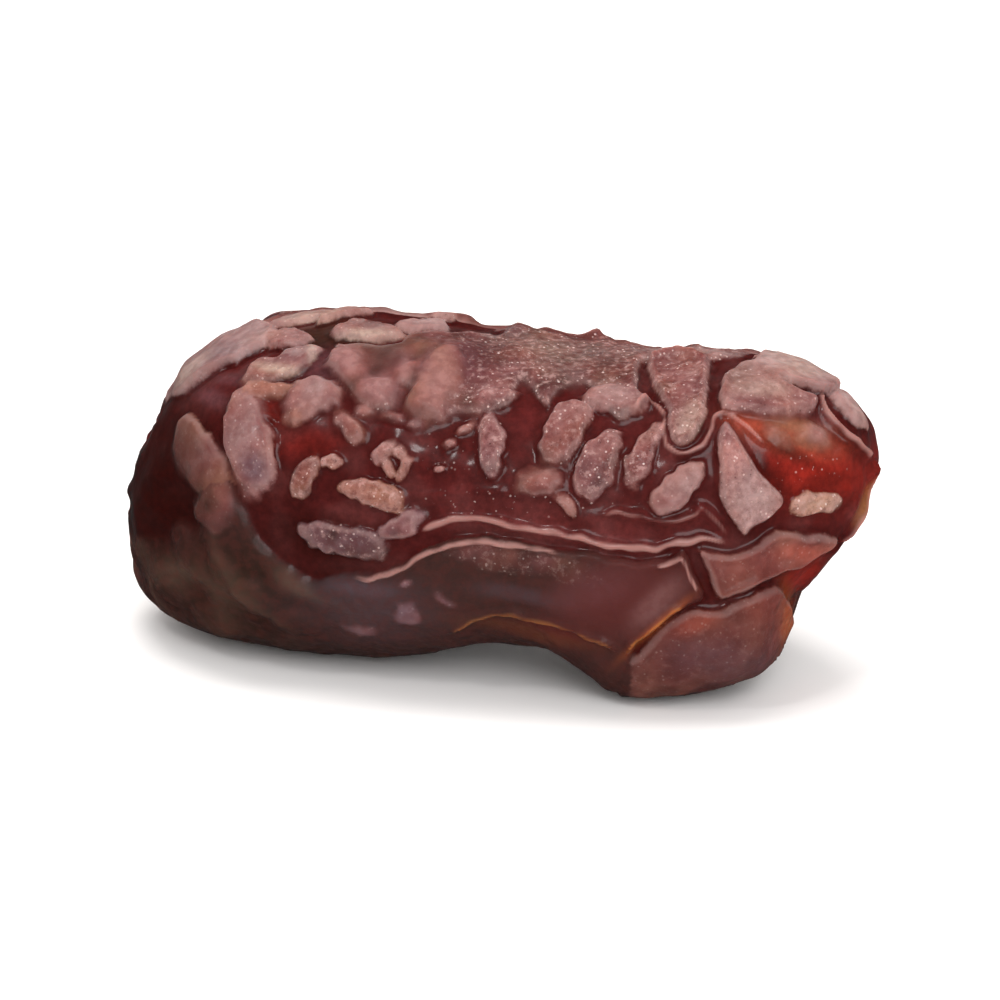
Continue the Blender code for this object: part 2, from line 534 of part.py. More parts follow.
def make_date():
    """The date as one object: its grid thinned to the triangles that hold its relief, and cut flat below."""
    places = date_skin(ROWS, COLUMNS)
    points = np.vstack([places[0, :1], places[1:-1].reshape(-1, 3), places[-1, :1]]) * MM
    mesh = bpy.data.meshes.new("date")
    mesh.from_pydata(points.tolist(), [], grid_faces(ROWS, COLUMNS))
    mesh.materials.append(skin_material())
    mesh.shade_smooth()
    date = bpy.data.objects.new("date", mesh)
    bpy.context.scene.collection.objects.link(date)
    thin = date.modifiers.new("thin", "DECIMATE")
    thin.ratio = KEPT_SHARE
    flatten = date.modifiers.new("flatten", "BOOLEAN")
    flatten.object = table_cutter()
    flatten.operation = "DIFFERENCE"
    return date


for old in list(bpy.data.objects):
    bpy.data.objects.remove(old)
make_date()
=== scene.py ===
"""One dried Piarom date, lying on its side on a pale table under soft studio light.

The fruit is one skin over soft flesh. It is worked out here as a grid of places round the fruit, with
the same form as its solid and a finer relief, and painted from the same marks. Lengths are in
millimetres and angles in degrees until the mesh is made, in metres. Angles round the fruit start at its
front, -Y, and rise over the top.
"""

import math

import bpy
import mathutils
import numpy as np
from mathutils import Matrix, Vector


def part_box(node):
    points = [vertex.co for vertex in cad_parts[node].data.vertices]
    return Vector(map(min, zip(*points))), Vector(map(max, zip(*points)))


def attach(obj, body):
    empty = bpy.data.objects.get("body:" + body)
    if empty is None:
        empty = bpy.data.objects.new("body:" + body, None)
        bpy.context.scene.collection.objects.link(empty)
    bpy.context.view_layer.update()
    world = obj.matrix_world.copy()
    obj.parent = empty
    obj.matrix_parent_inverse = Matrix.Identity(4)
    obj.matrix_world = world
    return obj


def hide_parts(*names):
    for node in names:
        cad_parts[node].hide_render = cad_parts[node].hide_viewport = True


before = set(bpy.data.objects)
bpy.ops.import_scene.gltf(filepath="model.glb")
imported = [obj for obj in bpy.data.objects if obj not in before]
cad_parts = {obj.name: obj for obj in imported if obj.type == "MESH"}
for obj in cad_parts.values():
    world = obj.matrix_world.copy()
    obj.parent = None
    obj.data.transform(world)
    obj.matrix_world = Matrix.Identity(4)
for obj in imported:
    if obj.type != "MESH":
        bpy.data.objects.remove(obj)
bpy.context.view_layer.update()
solid_low, solid_high = (np.array(corner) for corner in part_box("date"))

# The body: a fleshy oblong fruit, blunt at both ends and a little slimmer towards the middle of its underside,
# that has dried until its skin hangs loose. Below the tip a slack fold of that skin sags to the table.
MM = 0.001
LENGTH = 45.2
AXIS_HEIGHT = 10.1
SECTION_POWER = 2.35
STEM_END_POWER = 3.2
TIP_END_POWER = 2.6
SINK = 0.55

# Pairs of x and a length there: the middle's height above AXIS_HEIGHT, and the reach from it up, down and to
# the sides. The fold has the same pairs for its swelling, and the angle that it lies at and spreads over.
MIDDLE = ((-22.6, -3.1), (-20.4, -1.9), (-17, -0.3), (-12, 0.3), (0, 0.3), (12, 0.5), (15, 1.5), (19, 3.0),
          (22.6, 3.8))
UPWARD = ((-22.6, 9.2), (-19, 10.7), (-14, 10.5), (-5, 10.2), (2, 9.4), (8, 9.3), (12, 9.7), (15, 10.1),
          (19, 9.4), (22.6, 8.2))
DOWNWARD = ((-22.6, 9.4), (-17, 10.8), (-10, 10.4), (-5, 9.9), (-2, 8.8), (1, 8.2), (4, 8.3), (12, 8.5),
            (22.6, 9.2))
SIDEWAYS = ((-22.6, 9.2), (-15, 10.5), (-6, 10.5), (4, 10.2), (13, 10.4), (19, 9.6), (22.6, 8.6))
SIDE_SWAY = 0.7

FOLD = ((4.5, 0), (6.5, 0.9), (8.5, 2.3), (11, 2.8), (14, 3.4), (17, 4.0), (18.0, 3.7), (18.7, 0.6),
        (19.3, 0))
FOLD_BLUR = 0.4
FOLD_ANGLE = -65
FOLD_SPREAD = 41

# The grid of the piece, whose lines stand closer at the front, and the guide, a plainer grid over the same
# form that carries marks onto it.
ROWS = 316
COLUMNS = 316
CLOSER_AT_FRONT = 0.25
FRONT_MIDDLE = 20
GUIDE_LINES = 300
SEED = 7


def smooth(start, end, value):
    """0 before start and 1 past end, with an even S between them."""
    t = np.clip((value - start) / (end - start), 0, 1)
    return t * t * (3 - 2 * t)


def rounded(pairs, x, blur=1.6):
    """The broken line through pairs at x, averaged over blur to each side, so that its corners are round."""
    places, values = zip(*pairs)
    return sum(np.interp(x + shift * blur, places, values) for shift in (-1, -0.5, 0, 0.5, 1)) / 5


def ripple(points, wavelength, seed, waves=14):
    """A smooth random height of about -1 to 1 in space: plane waves in seeded directions, added up."""
    draw = np.random.default_rng(seed)
    directions = draw.normal(size=(waves, 3))
    directions *= 2 * math.pi / wavelength / np.linalg.norm(directions, axis=1)[:, None]
    directions *= draw.uniform(0.7, 1.5, (waves, 1))
    phases = draw.uniform(0, 2 * math.pi, waves)
    return sum(np.sin(points @ d + p) for d, p in zip(directions, phases)) / math.sqrt(2 * waves)


def section(x, angle):
    """The skin's place at x and angle: a rounded section about a middle that sways, and the fold's swelling.

    Its reach from the middle is the ends' rounding, a superellipse along X, times a superellipse round it. The
    fold is a flat-topped bell over the angle from its own.
    """
    half = LENGTH / 2
    power = np.where(x < 0, STEM_END_POWER, TIP_END_POWER)
    closing = np.clip(1 - np.abs(x / half) ** power, 0, 1) ** (1 / power)
    forward, upward = np.cos(angle), np.sin(angle)
    tall = np.where(upward > 0, rounded(UPWARD, x), rounded(DOWNWARD, x))
    wide = rounded(SIDEWAYS, x)
    oblong = (np.abs(forward) / wide) ** SECTION_POWER + (np.abs(upward) / tall) ** SECTION_POWER
    reach = closing * oblong ** (-1 / SECTION_POWER)
    from_fold = (np.degrees(angle) - FOLD_ANGLE + 180) % 360 - 180
    reach = reach + rounded(FOLD, x, FOLD_BLUR) * np.exp(-((np.abs(from_fold) / FOLD_SPREAD) ** 3))
    y = SIDE_SWAY * (x / half) ** 2 - reach * forward
    z = AXIS_HEIGHT + rounded(MIDDLE, x) + reach * upward
    return np.stack([x, y, z], -1)


def smooth_form(rows, columns, closer=0.0):
    """A grid over the smooth form: the section, read at even steps along each line from stem end to tip.

    The lines stand closer at the front by the share closer. Gives the places, the outward normals, the
    directions along and around the grid, and each x and angle.
    """
    turned = np.linspace(-math.pi, math.pi, columns, endpoint=False)
    angle = turned - closer * np.sin(turned - math.radians(FRONT_MIDDLE))
    tight = np.sin(np.linspace(-math.pi / 2, math.pi / 2, 4 * rows))[:, None] * LENGTH / 2
    lines = section(*np.broadcast_arrays(tight, angle[None, :]))
    steps = np.linalg.norm(np.diff(lines, axis=0), axis=-1)
    run = np.vstack([np.zeros(columns), np.cumsum(steps, axis=0)])
    share = np.linspace(0, 1, rows + 1)
    x = np.stack([np.interp(share * run[-1, k], run[:, k], tight[:, 0]) for k in range(columns)], 1)
    angle = np.broadcast_to(angle, x.shape)
    places = section(x, angle)
    along = np.gradient(places, axis=0)
    around = (np.roll(places, -1, axis=1) - np.roll(places, 1, axis=1)) / 2
    along[[0, -1]] = along[[1, -2]]
    around[[0, -1]] = around[[1, -2]]
    normals = np.cross(along, around)
    for field in (normals, along, around):
        field /= np.linalg.norm(field, axis=-1)[..., None]
    normals[0] = (-1, 0, 0)
    normals[-1] = (1, 0, 0)
    return places, normals, along, around, x, angle


guide = smooth_form(GUIDE_LINES, GUIDE_LINES)
form = smooth_form(ROWS, COLUMNS, CLOSER_AT_FRONT)
places, normals, form_x, form_angle = form[0], form[1], form[4], form[5]

# The marks of the side that shows are set out as they are seen from 15 degrees round and 20 degrees up: u to
# the right of the fruit's middle and v above it. They are carried onto the skin from there.
SEEN_TURN = 15
SEEN_RISE = 20
SEEN_MIDDLE = (0, 0, AXIS_HEIGHT)
MOST_STRETCH = 3.0
LEAST_FACING = 0.05
MOST_STEP = 0.3


def seen_axes():
    """The directions to the right, upwards and towards the eye of the view that u and v are measured in."""
    turn, rise = math.radians(SEEN_TURN), math.radians(SEEN_RISE)
    right = np.array([math.cos(turn), math.sin(turn), 0])
    towards = np.array([math.sin(turn) * math.cos(rise), -math.cos(turn) * math.cos(rise), math.sin(rise)])
    return right, np.cross(towards, right), towards


def as_seen(points):
    """How far right and up each place shows: its offset from the middle along the view's two directions."""
    right, up, _ = seen_axes()
    return np.stack([(points - SEEN_MIDDLE) @ right, (points - SEEN_MIDDLE) @ up], -1)


def on_skin(seen):
    """Where points (u, v) show on the skin: the places, the grid's directions there and how to raise them.

    Each is the nearest point of the guide that faces the eye, moved in its tangent plane to show at (u, v).
    The last result turns a step in the view into the step on the skin that shows so.
    """
    spots, outward, along, around = (field.reshape(-1, 3) for field in guide[:4])
    right, up, towards = seen_axes()
    shown = as_seen(spots)
    hidden = LENGTH**2 * (outward @ towards < LEAST_FACING)
    index = np.array([np.argmin(np.sum((shown - point) ** 2, -1) + hidden) for point in np.asarray(seen)])
    along, around = along[index], around[index]
    rightward = np.stack([along @ right, around @ right], -1)
    upward = np.stack([along @ up, around @ up], -1)
    raised = np.linalg.inv(np.stack([rightward, upward], -2))
    step = np.clip(np.einsum("nij,nj->ni", raised, seen - shown[index]), -MOST_STEP, MOST_STEP)
    spots = spots[index] + step[:, :1] * along + step[:, 1:] * around
    return spots, outward[index], along, around, raised


def through(points, steps=8):
    """A smooth curve through points (Catmull-Rom), with steps places on each stretch."""
    p = np.array(points, float)
    p = np.vstack([2 * p[0] - p[1], p, 2 * p[-1] - p[-2]])
    before, start, end, after = (p[k : len(p) - 3 + k, None] for k in range(4))
    t = np.linspace(0, 1, steps, endpoint=False)[:, None]
    bend = (2 * before - 5 * start + 4 * end - after) * t**2 + (3 * start - before - 3 * end + after) * t**3
    return (start + ((end - before) * t + bend) / 2).reshape(-1, p.shape[-1])


# Where the skin has drawn back slowly its edges fade out softly: patches u, v, half length, half width,
# turn and how soft an edge is there.
SOFT_PATCHES = (
    (-6.0, 6.3, 4.6, 2.6, -5, 0.6),
    (-12.6, 6.0, 2.6, 1.5, 0, 0.7),
    (-19.5, -2.6, 5.0, 2.2, -15, 1.0),
    (-18.3, 1.4, 2.8, 2.2, -30, 0.9),
    (17.8, 3.9, 2.8, 1.4, -15, 1.0),
    (-6.5, -6.5, 3.4, 2.4, 0, 0.7),
    (-15.5, -5.5, 4.5, 2.5, -15, 1.0),
    (-16.3, 0.2, 1.8, 1.6, -45, 1.0),
    (2.2, 1.4, 1.6, 1.2, 0, 0.6),
    (2.5, -4.0, 4.0, 1.0, -3, 0.6),
    (2.5, 8.0, 3.4, 1.6, -8, 0.6),
)


def patch(shown, u, v, long, wide, turn):
    """1 at (u, v) and fading out past its half sizes, as a soft oblong turned in the view."""
    across = math.radians(turn)
    offset = shown - (u, v)
    forth = (offset @ (math.cos(across), math.sin(across))) / long
    square = (offset @ (-math.sin(across), math.cos(across))) / wide
    return np.exp(-((forth**2 + square**2) ** 1.5))


softness = np.zeros(places.shape[:-1])
for *oblong, most in SOFT_PATCHES:
    softness = np.maximum(softness, most * patch(as_seen(places), *oblong))

# Blisters: oblong pads of dry skin that have let go of the flesh below. Each has a wandering outline, a steep
# edge and a domed top. Each row gives u, v, half length, half width, turn, height above whole skin and taper,
# and then how pale, how tan (or, below 0, how mauve) and how sugary the pad is.
BLISTERS = (
    (-17.1, 8.85, 3.5, 0.9, 42, 0.25, 0.1, 0.8, -0.15, 0.1),
    (-13.3, 8.1, 2.1, 0.7, 5, 0.1, -0.1, 0.42, 0.1, 0.4),
    (-12.8, 9.9, 1.1, 0.5, 25, 0.1, 0, 0.6, 0, 0.4),
    (-12.0, 8.8, 0.9, 0.55, 60, 0.1, 0, 0.8, 0.1, 0.3),
    (-11.6, 11.2, 1.7, 0.4, 2, 0, 0, 0.7, 0, 0.3),
    (-9.3, 11.2, 0.9, 0.4, -10, 0.1, 0, 0.6, 0.3, 0.4),
    (-7.8, 10.3, 2.2, 0.5, 4, 0.08, 0.1, 0.55, 0, 0.6),
    (-4.5, 10.7, 1.6, 0.3, -8, 0.08, 0, 0.75, -0.1, 0.3),
    (-15.0, 3.6, 3.2, 1.5, -71, 0.2, 0.1, 0.52, 0.05, 0.25),
    (-18.1, 2.5, 2.2, 1.5, -32, 0.1, 0, 0.44, 0.3, 0.05),
    (-16.9, -0.5, 1.7, 1.4, -55, 0.1, 0, 0.22, -0.1, 0.05),
    (-13.8, 6.7, 1.4, 0.6, -15, -0.1, -0.3, 0.44, 0.5, 0.3),
    (-11.2, 6.2, 1.6, 1.4, 55, 0.1, 0.2, 0.62, 0, 0.15),
    (-12.1, 5.2, 0.8, 0.6, 20, 0, 0, 0.5, 0.2, 0.15),
    (-8.7, 7.8, 1.5, 0.9, -60, 0.4, 0, 0.38, 0, 0.2),
    (-7.2, 6.6, 1.1, 0.8, -30, 0.35, 0, 0.45, 0, 0.3),
    (-8.9, 4.5, 1.1, 0.6, -50, -0.1, 0.2, 0.42, 0.3, 0.5),
    (-3.6, 7.0, 2.1, 1.4, 80, 0.45, 0, 0.36, 0.25, 0.1),
    (-5.2, 7.7, 0.9, 0.45, 60, 0.3, 0, 0.38, 0.2, 0.1),
    (-11.6, 1.4, 1.4, 0.7, 57, 0, -0.1, 0.3, 0.25, 0.9),
    (-10.0, 2.3, 0.65, 0.5, 10, -0.05, 0, 0.52, 0.3, 0.9),
    (-6.7, 2.9, 0.8, 0.45, 25, -0.15, 0, 0.55, 0.1, 0.7),
    (-5.5, 1.9, 0.9, 0.4, 60, -0.15, 0, 0.55, 0.1, 0.7),
    (-6.5, 2.0, 0.6, 0.35, -55, -0.2, 0, 0.55, 0.1, 0.7),
    (-5.6, 2.8, 0.6, 0.35, -50, -0.2, 0, 0.55, 0.1, 0.7),
    (-3.5, 2.0, 0.3, 0.25, 0, -0.35, 0, 0.6, 0.2, 0.5),
    (-3.0, 3.5, 0.35, 0.25, 60, -0.35, 0, 0.4, 0, 0.5),
    (-7.5, 0.3, 2.0, 0.8, -10, -0.1, 0.1, 0.43, 0.45, 0.9),
    (-5.8, -1.5, 1.4, 0.75, 35, -0.05, 0.2, 0.42, -0.5, 0.3),
    (-9.3, -2.4, 2.8, 1.0, -5, 0.05, 0.2, 0.2, -0.5, 0.5),
    (-0.4, 3.4, 2.0, 0.75, 92, 0.1, 0, 0.45, -0.05, 0.9),
    (-0.3, 6.1, 1.3, 0.6, 5, 0.25, 0, 0.38, -0.05, 0.8),
    (4.0, 4.3, 2.1, 1.25, 78, 0.2, 0, 0.42, -0.05, 0.6),
    (5.9, 2.2, 2.3, 1.15, 70, 0.15, 0, 0.4, -0.05, 0.7),
    (2.3, 1.1, 1.3, 0.8, 10, -0.1, 0, 0.36, 0, 0.3),
    (3.9, -0.2, 1.0, 0.35, -52, -0.2, -0.3, 0.34, 0, 0.5),
    (8.5, 2.8, 2.2, 0.75, 72, 0.05, -0.1, 0.42, 0, 0.9),
    (10.6, 0.8, 2.0, 0.95, 45, 0.15, 0, 0.6, 0, 0.2),
    (6.9, 6.1, 1.4, 0.8, -40, 0.3, 0, 0.5, -0.05, 0.4),
    (17.7, 7.9, 2.6, 0.85, -22, 0.35, 0, 0.85, 0, 0.1),
    (20.9, 5.5, 1.5, 0.6, -55, 0.2, 0, 0.85, 0.05, 0.1),
    (18.9, 4.0, 1.0, 0.6, -10, -0.3, 0, 0.32, 0.7, 0.1),
    (16.6, 4.0, 0.9, 0.5, -35, -0.35, 0, 0.34, 0.6, 0.1),
    (19.0, -0.3, 1.4, 0.7, -10, -0.05, 0, 0.6, 0.8, 0.8),
    # These four small pads low on the flank are raised skin; their bluish mauve is a painted reflection on the
    # glossy flank.
    (-5.5, -6.7, 0.9, 0.6, 0, 0.25, 0, 0.4, -0.75, 0.1),
    (-5.6, -4.9, 0.5, 0.3, 20, 0.2, 0, 0.36, -0.75, 0.1),
    (-8.0, -7.6, 1.0, 0.3, 3, 0.2, 0, 0.36, -0.75, 0.1),
    (-3.0, -6.0, 0.8, 0.25, -40, 0.15, 0, 0.28, -0.6, 0.1),
    (-14.5, -5.6, 1.8, 0.9, -20, 0.35, 0, 0.1, 0.2, 0),
    (-18.3, -3.4, 1.5, 0.9, -30, 0.35, 0, 0.12, 0, 0),
    (-19.4, -5.6, 1.3, 0.8, -50, 0.3, 0, 0.08, 0, 0),
    (-16.4, -3.9, 1.2, 0.7, -45, 0.3, 0, 0.12, 0, 0),
    (-12.2, -7.0, 1.6, 0.7, -12, 0.3, 0, 0.08, 0.1, 0),
    (-17.2, -7.2, 1.4, 0.7, -20, 0.3, 0, 0.06, 0.2, 0),
    (1.4, -3.6, 4.8, 0.95, -5, 0.12, 0, 0.14, 0, 0.25),
    (-7.9, 5.5, 0.5, 0.35, 20, 0.0, 0, 0.5, 0, 0.6),
    (-6.3, 5.0, 0.6, 0.3, -30, -0.1, 0, 0.45, 0, 0.6),
    (-4.9, 4.6, 0.5, 0.3, 10, -0.1, 0, 0.42, 0, 0.6),
    (-2.0, 4.6, 0.7, 0.3, 35, -0.1, 0, 0.42, 0, 0.7),
    (-9.7, 6.1, 0.5, 0.35, -60, 0.1, 0, 0.5, 0, 0.4),
)
BLISTER_SQUARENESS = 2.4
BLISTER_WANDER = ((2.6, 0.2), (1.1, 0.12))
BLISTER_EDGE = (-0.15, 0.26)
SOFT_SPREAD = (0.4, 0.6)
TAPER_REACH = 1.2
BLISTER_DEPTH = 2.5
DOME_HEIGHT = 0.06
DOME_REACH = 1.2
# The next two set painted light: how much paler each pad grows towards its upper side, and the least reach over
# which that is measured.
TOP_LIGHT_PALE = 0.09
TOP_LIGHT_LEAST = 0.5
FLESH_DEPTH = 0.45
FAR_OUTSIDE = -9.0

# On the side turned away: how many blisters and small specks there are, where they may lie, how close, and the
# ranges that their sizes, turns, heights and looks are drawn from.
REAR_BLISTERS = 46
REAR_TRIES = 4000
REAR_ROOM = (118, 252)
REAR_MIDDLE = -0.5
REAR_REACH = 18.5
REAR_GAP = 0.78
REAR_LONG = (1.2, 2.7)
REAR_WIDE = (0.8, 1.35)
REAR_TURN = 0.9
REAR_CROSSWISE = 0.4
REAR_HEIGHT = (-0.05, 0.25)
REAR_TAPER = (-0.3, 0.3)
REAR_LOOK = ((0.2, 0.72), (-0.5, 0.6), (0.1, 0.9))
SMALL_BLISTERS = 60
SMALL_LONG = (0.35, 0.9)
SMALL_WIDE = (0.25, 0.5)
SMALL_HEIGHT = (-0.2, 0.05)
SMALL_GAP = 1.05


def front_blisters():
    """Each blister's centre, normal, long and wide half axes on the skin, height and taper, and its look."""
    seen = np.array(BLISTERS, float)
    centre, normal, along, around, raised = on_skin(seen[:, :2])
    turn = np.radians(seen[:, 4])
    heading = np.stack([np.cos(turn), np.sin(turn)], -1)
    square = np.stack([-np.sin(turn), np.cos(turn)], -1)
    axes = []
    for direction, size in ((heading, seen[:, 2]), (square, seen[:, 3])):
        mix = np.einsum("nij,nj->ni", raised, direction)
        axis = mix[:, :1] * along + mix[:, 1:] * around
        stretch = np.linalg.norm(axis, axis=1)
        axes.append(axis * (size * np.minimum(1, MOST_STRETCH / stretch))[:, None])
    return [list(row) for row in zip(centre, normal, *axes, seen[:, 5], seen[:, 6], seen[:, 7:])]


def rear_places(draw):
    """Places of the guide on the side turned away, by their index and in random order."""
    degrees = np.degrees(guide[5]) % 360
    room = (degrees > REAR_ROOM[0]) & (degrees < REAR_ROOM[1])
    room &= np.abs(guide[4] - REAR_MIDDLE) < REAR_REACH
    return draw.permutation(np.flatnonzero(room))[:REAR_TRIES]


def laid(index, turn, long, wide):
    """A blister's centre, normal and long and wide half axes at a place of the guide."""
    centre, normal, forth, across = (field.reshape(-1, 3)[index] for field in guide[:4])
    heading = math.cos(turn) * forth + math.sin(turn) * across
    square = math.cos(turn) * across - math.sin(turn) * forth
    return [centre, normal, heading * long, square * wide]


def least_gap(centre, long, others, axis):
    """The least distance to another blister, as a share of long and that one's half axis together."""
    return min(np.linalg.norm(centre - other[0]) / (long + np.linalg.norm(other[axis])) for other in others)


def rear_blisters(taken):
    """Blisters over the side turned away, thrown at random and kept where they clear those already there."""
    draw = np.random.default_rng(SEED)
    looks = np.random.default_rng(SEED + 60)
    kept = []
    for index in rear_places(draw):
        if len(kept) == REAR_BLISTERS:
            break
        long, wide = draw.uniform(*REAR_LONG), draw.uniform(*REAR_WIDE)
        turn = draw.normal(0, REAR_TURN) + math.pi / 2 * (draw.random() < REAR_CROSSWISE)
        one = laid(index, turn, long, wide)
        if least_gap(one[0], long, taken + kept, 2) < REAR_GAP:
            continue
        look = np.array([looks.uniform(*span) for span in REAR_LOOK])
        kept.append([*one, draw.uniform(*REAR_HEIGHT), draw.uniform(*REAR_TAPER), look])
    return kept


def small_blisters(taken):
    """Small raised specks of skin between the blisters of the side turned away."""
    draw = np.random.default_rng(SEED + 61)
    kept = []
    for index in rear_places(draw):
        if len(kept) == SMALL_BLISTERS:
            break
        long, wide = draw.uniform(*SMALL_LONG), draw.uniform(*SMALL_WIDE)
        if least_gap(guide[0].reshape(-1, 3)[index], long, taken + kept, 3) < SMALL_GAP:
            continue
        one = laid(index, draw.uniform(0, math.pi), long, wide)
        look = np.array([draw.uniform(*span) for span in REAR_LOOK])
        kept.append([*one, draw.uniform(*SMALL_HEIGHT), 0, look])
    return kept


def soft_step(edge, inside):
    """A smooth step over an edge, which is wider where the softness is greater."""
    return smooth(edge[0] - SOFT_SPREAD[0] * softness, edge[1] + SOFT_SPREAD[1] * softness, inside)


def blister_fields(points, blisters):
    """For each place: how much blisters cover it, their height, how far inside an edge it lies, and its look.

    A blister is the distance from its centre in its own half axes, raised to BLISTER_SQUARENESS. Its top rises
    as a smooth step over the distance inside its edge.
    """
    spread = points.copy()
    for first, (wavelength, reach) in zip((SEED, SEED + 5), BLISTER_WANDER):
        spread += reach * np.stack([ripple(points, wavelength, first + k) for k in range(3)], -1)
    up = seen_axes()[1]
    cover, above = np.zeros((2, *points.shape[:-1]))
    nearest = np.full(points.shape[:-1], FAR_OUTSIDE)
    look = np.zeros(points.shape)
    for centre, normal, long, wide, height, taper, own_look in blisters:
        offset = spread - centre
        forth = offset @ long / (long @ long)
        across = offset @ wide / (wide @ wide) / (1 + taper * np.clip(forth, -TAPER_REACH, TAPER_REACH))
        deep = offset @ normal / BLISTER_DEPTH
        reach = sum(np.abs(part) ** BLISTER_SQUARENESS for part in (forth, across, deep))
        inside = (1 - reach ** (1 / BLISTER_SQUARENESS)) * min(math.sqrt(wide @ wide), math.sqrt(long @ long))
        one = soft_step(BLISTER_EDGE, inside)
        above = np.maximum(above, one * (height + FLESH_DEPTH + DOME_HEIGHT * smooth(0, DOME_REACH, inside)))
        cover = np.maximum(cover, one)
        # Painted light: each pad is paler towards its upper side, where light from above falls on it.
        top_light = np.clip(offset @ up / max(abs(long @ up) + abs(wide @ up), TOP_LIGHT_LEAST), -1, 1)
        own_look = own_look + TOP_LIGHT_PALE * np.stack([top_light, 0 * top_light, 0 * top_light], -1)
        look = np.where((inside > nearest)[..., None], own_look, look)
        nearest = np.maximum(nearest, inside)
    return cover, above - FLESH_DEPTH * cover, nearest, look


seen_blisters = front_blisters()
all_blisters = seen_blisters + rear_blisters(seen_blisters)
blister, blister_top, blister_inside, blister_look = blister_fields(
    places, all_blisters + small_blisters(all_blisters))

# Plates: stretches of whole skin between the blisters, each with a slightly curled rim. Their outlines run
# through places u and v: the flank, the back, a tongue that hangs from it, the cheek beside that, a drop, the
# front of the tip and the loose fold. The list gives each one's height, rim and look, as for the blisters.
FLANK = ((-17.2, -0.9), (-16.7, 0.6), (-16.1, 1.3), (-15.5, 0.2), (-14.9, -1.3), (-14.0, -2.8),
         (-12.6, -4.0), (-11.2, -5.0), (-9.6, -4.5), (-7.2, -4.3), (-5.8, -3.8), (-4.3, -2.9), (-3.0, -2.5),
         (-1.3, -2.2), (0.5, -2.4), (2.5, -2.7), (5.0, -3.1), (8.0, -3.5), (10.0, -3.5), (10.9, -3.1),
         (11.5, -4.4), (12.2, -5.8), (11.2, -6.3), (10.0, -7.0), (8.8, -8.1), (7.8, -9.1), (7.2, -14.0),
         (-26.0, -14.0), (-26.0, -3.6), (-20.6, -2.8), (-18.6, -2.0))
BACK = ((-9.7, 9.5), (-9.7, 8.6), (-9.2, 7.0), (-8.3, 6.0), (-7.4, 5.4), (-6.5, 5.4), (-6.0, 6.4),
        (-5.6, 7.2), (-5.1, 6.6), (-4.9, 5.6), (-4.2, 5.0), (-3.2, 4.8), (-2.6, 5.3), (-1.5, 5.3),
        (0.6, 5.6), (1.1, 6.8), (1.5, 7.2), (2.2, 6.4), (2.8, 5.6), (3.4, 6.4), (4.6, 7.1), (5.4, 6.9),
        (6.1, 5.9), (6.9, 5.0), (7.6, 5.1), (8.2, 6.0), (8.4, 7.8), (8.9, 8.4), (12.8, 8.5), (14.8, 8.9),
        (16.2, 9.1), (18.6, 8.7), (20.2, 7.4), (24.0, 9.0), (24.0, 14.0), (1.0, 14.0),
        (0.8, 10.4), (-2.5, 10.4), (-5.4, 10.2), (-5.8, 9.6), (-8.0, 9.4))
TONGUE = ((9.0, 8.8), (8.8, 8.0), (9.3, 6.6), (9.9, 5.6), (10.1, 4.2), (10.3, 3.4), (10.9, 3.2),
          (11.6, 3.7), (12.3, 4.9), (12.4, 6.5), (12.6, 8.1), (12.4, 8.8))
CHEEK = ((13.2, 5.4), (15.5, 5.2), (18.3, 5.2), (18.9, 6.1), (17.4, 6.8), (16.4, 7.7), (14.9, 8.3),
         (13.5, 7.7), (13.1, 6.5))
DROP = ((13.5, 4.7), (13.9, 4.0), (14.5, 2.9), (15.6, 1.4), (16.8, 0.1), (16.4, -0.8), (15.2, -1.6),
        (14.6, -2.1), (14.1, -1.6), (13.3, -0.4), (13.0, 1.0), (12.9, 2.8), (13.0, 4.0))
FRONT = ((11.7, -2.9), (13.8, -3.2), (15.0, -2.8), (16.5, -1.9), (18.0, -2.1), (19.5, -2.0), (20.3, -2.4),
         (19.4, -3.3), (18.0, -4.0), (16.2, -4.6), (14.8, -5.3), (13.2, -5.9), (12.4, -4.5))
LOOSE = ((8.4, -9.1), (9.4, -7.8), (11.2, -6.6), (12.6, -6.4), (13.6, -6.3), (15.0, -5.6), (16.5, -5.1),
         (17.2, -5.8), (18.2, -9.0), (18.0, -14.0), (7.6, -14.0), (7.4, -10.0))

PLATES = (
    (FLANK, 0.05, 0.05, (0.0, 0.0, 0.0)),
    (BACK, 0.1, 0.05, (0.26, 0.0, 0.9)),
    (TONGUE, 0.1, 0.15, (0.38, 0.1, 0.8)),
    (CHEEK, 0.15, 0.15, (0.5, 0.0, 0.5)),
    (DROP, 0.3, 0.05, (0.72, 0.0, 0.6)),
    (FRONT, 0.1, 0.15, (0.28, 0.12, 0.1)),
    (LOOSE, 0.2, 0.05, (0.19, 0.12, 0.1)),
)
PLATE_WANDER = (2.2, 0.1)
PLATE_EDGE = (-0.25, 0.4)
RIM_INSIDE = 0.25
RIM_WIDTH = 0.25


def inside_outline(shown, outline):
    """The distance from each shown place to a closed outline, positive inside it."""
    corners = through(outline + outline[:1], 3)
    distance = np.full(shown.shape[:-1], 99.0)
    crossings = np.zeros(shown.shape[:-1], bool)
    for start, end in zip(corners, np.roll(corners, -1, axis=0)):
        run = end - start
        offset = shown - start
        share = np.clip(offset @ run / (run @ run + 1e-9), 0, 1)
        distance = np.minimum(distance, np.hypot(*np.moveaxis(offset - share[..., None] * run, -1, 0)))
        spans = (start[1] > shown[..., 1]) != (end[1] > shown[..., 1])
        climb = run[1] if run[1] else 1e-9
        crossings ^= spans & (shown[..., 0] < start[0] + (shown[..., 1] - start[1]) / climb * run[0])
    return np.where(crossings, distance, -distance)


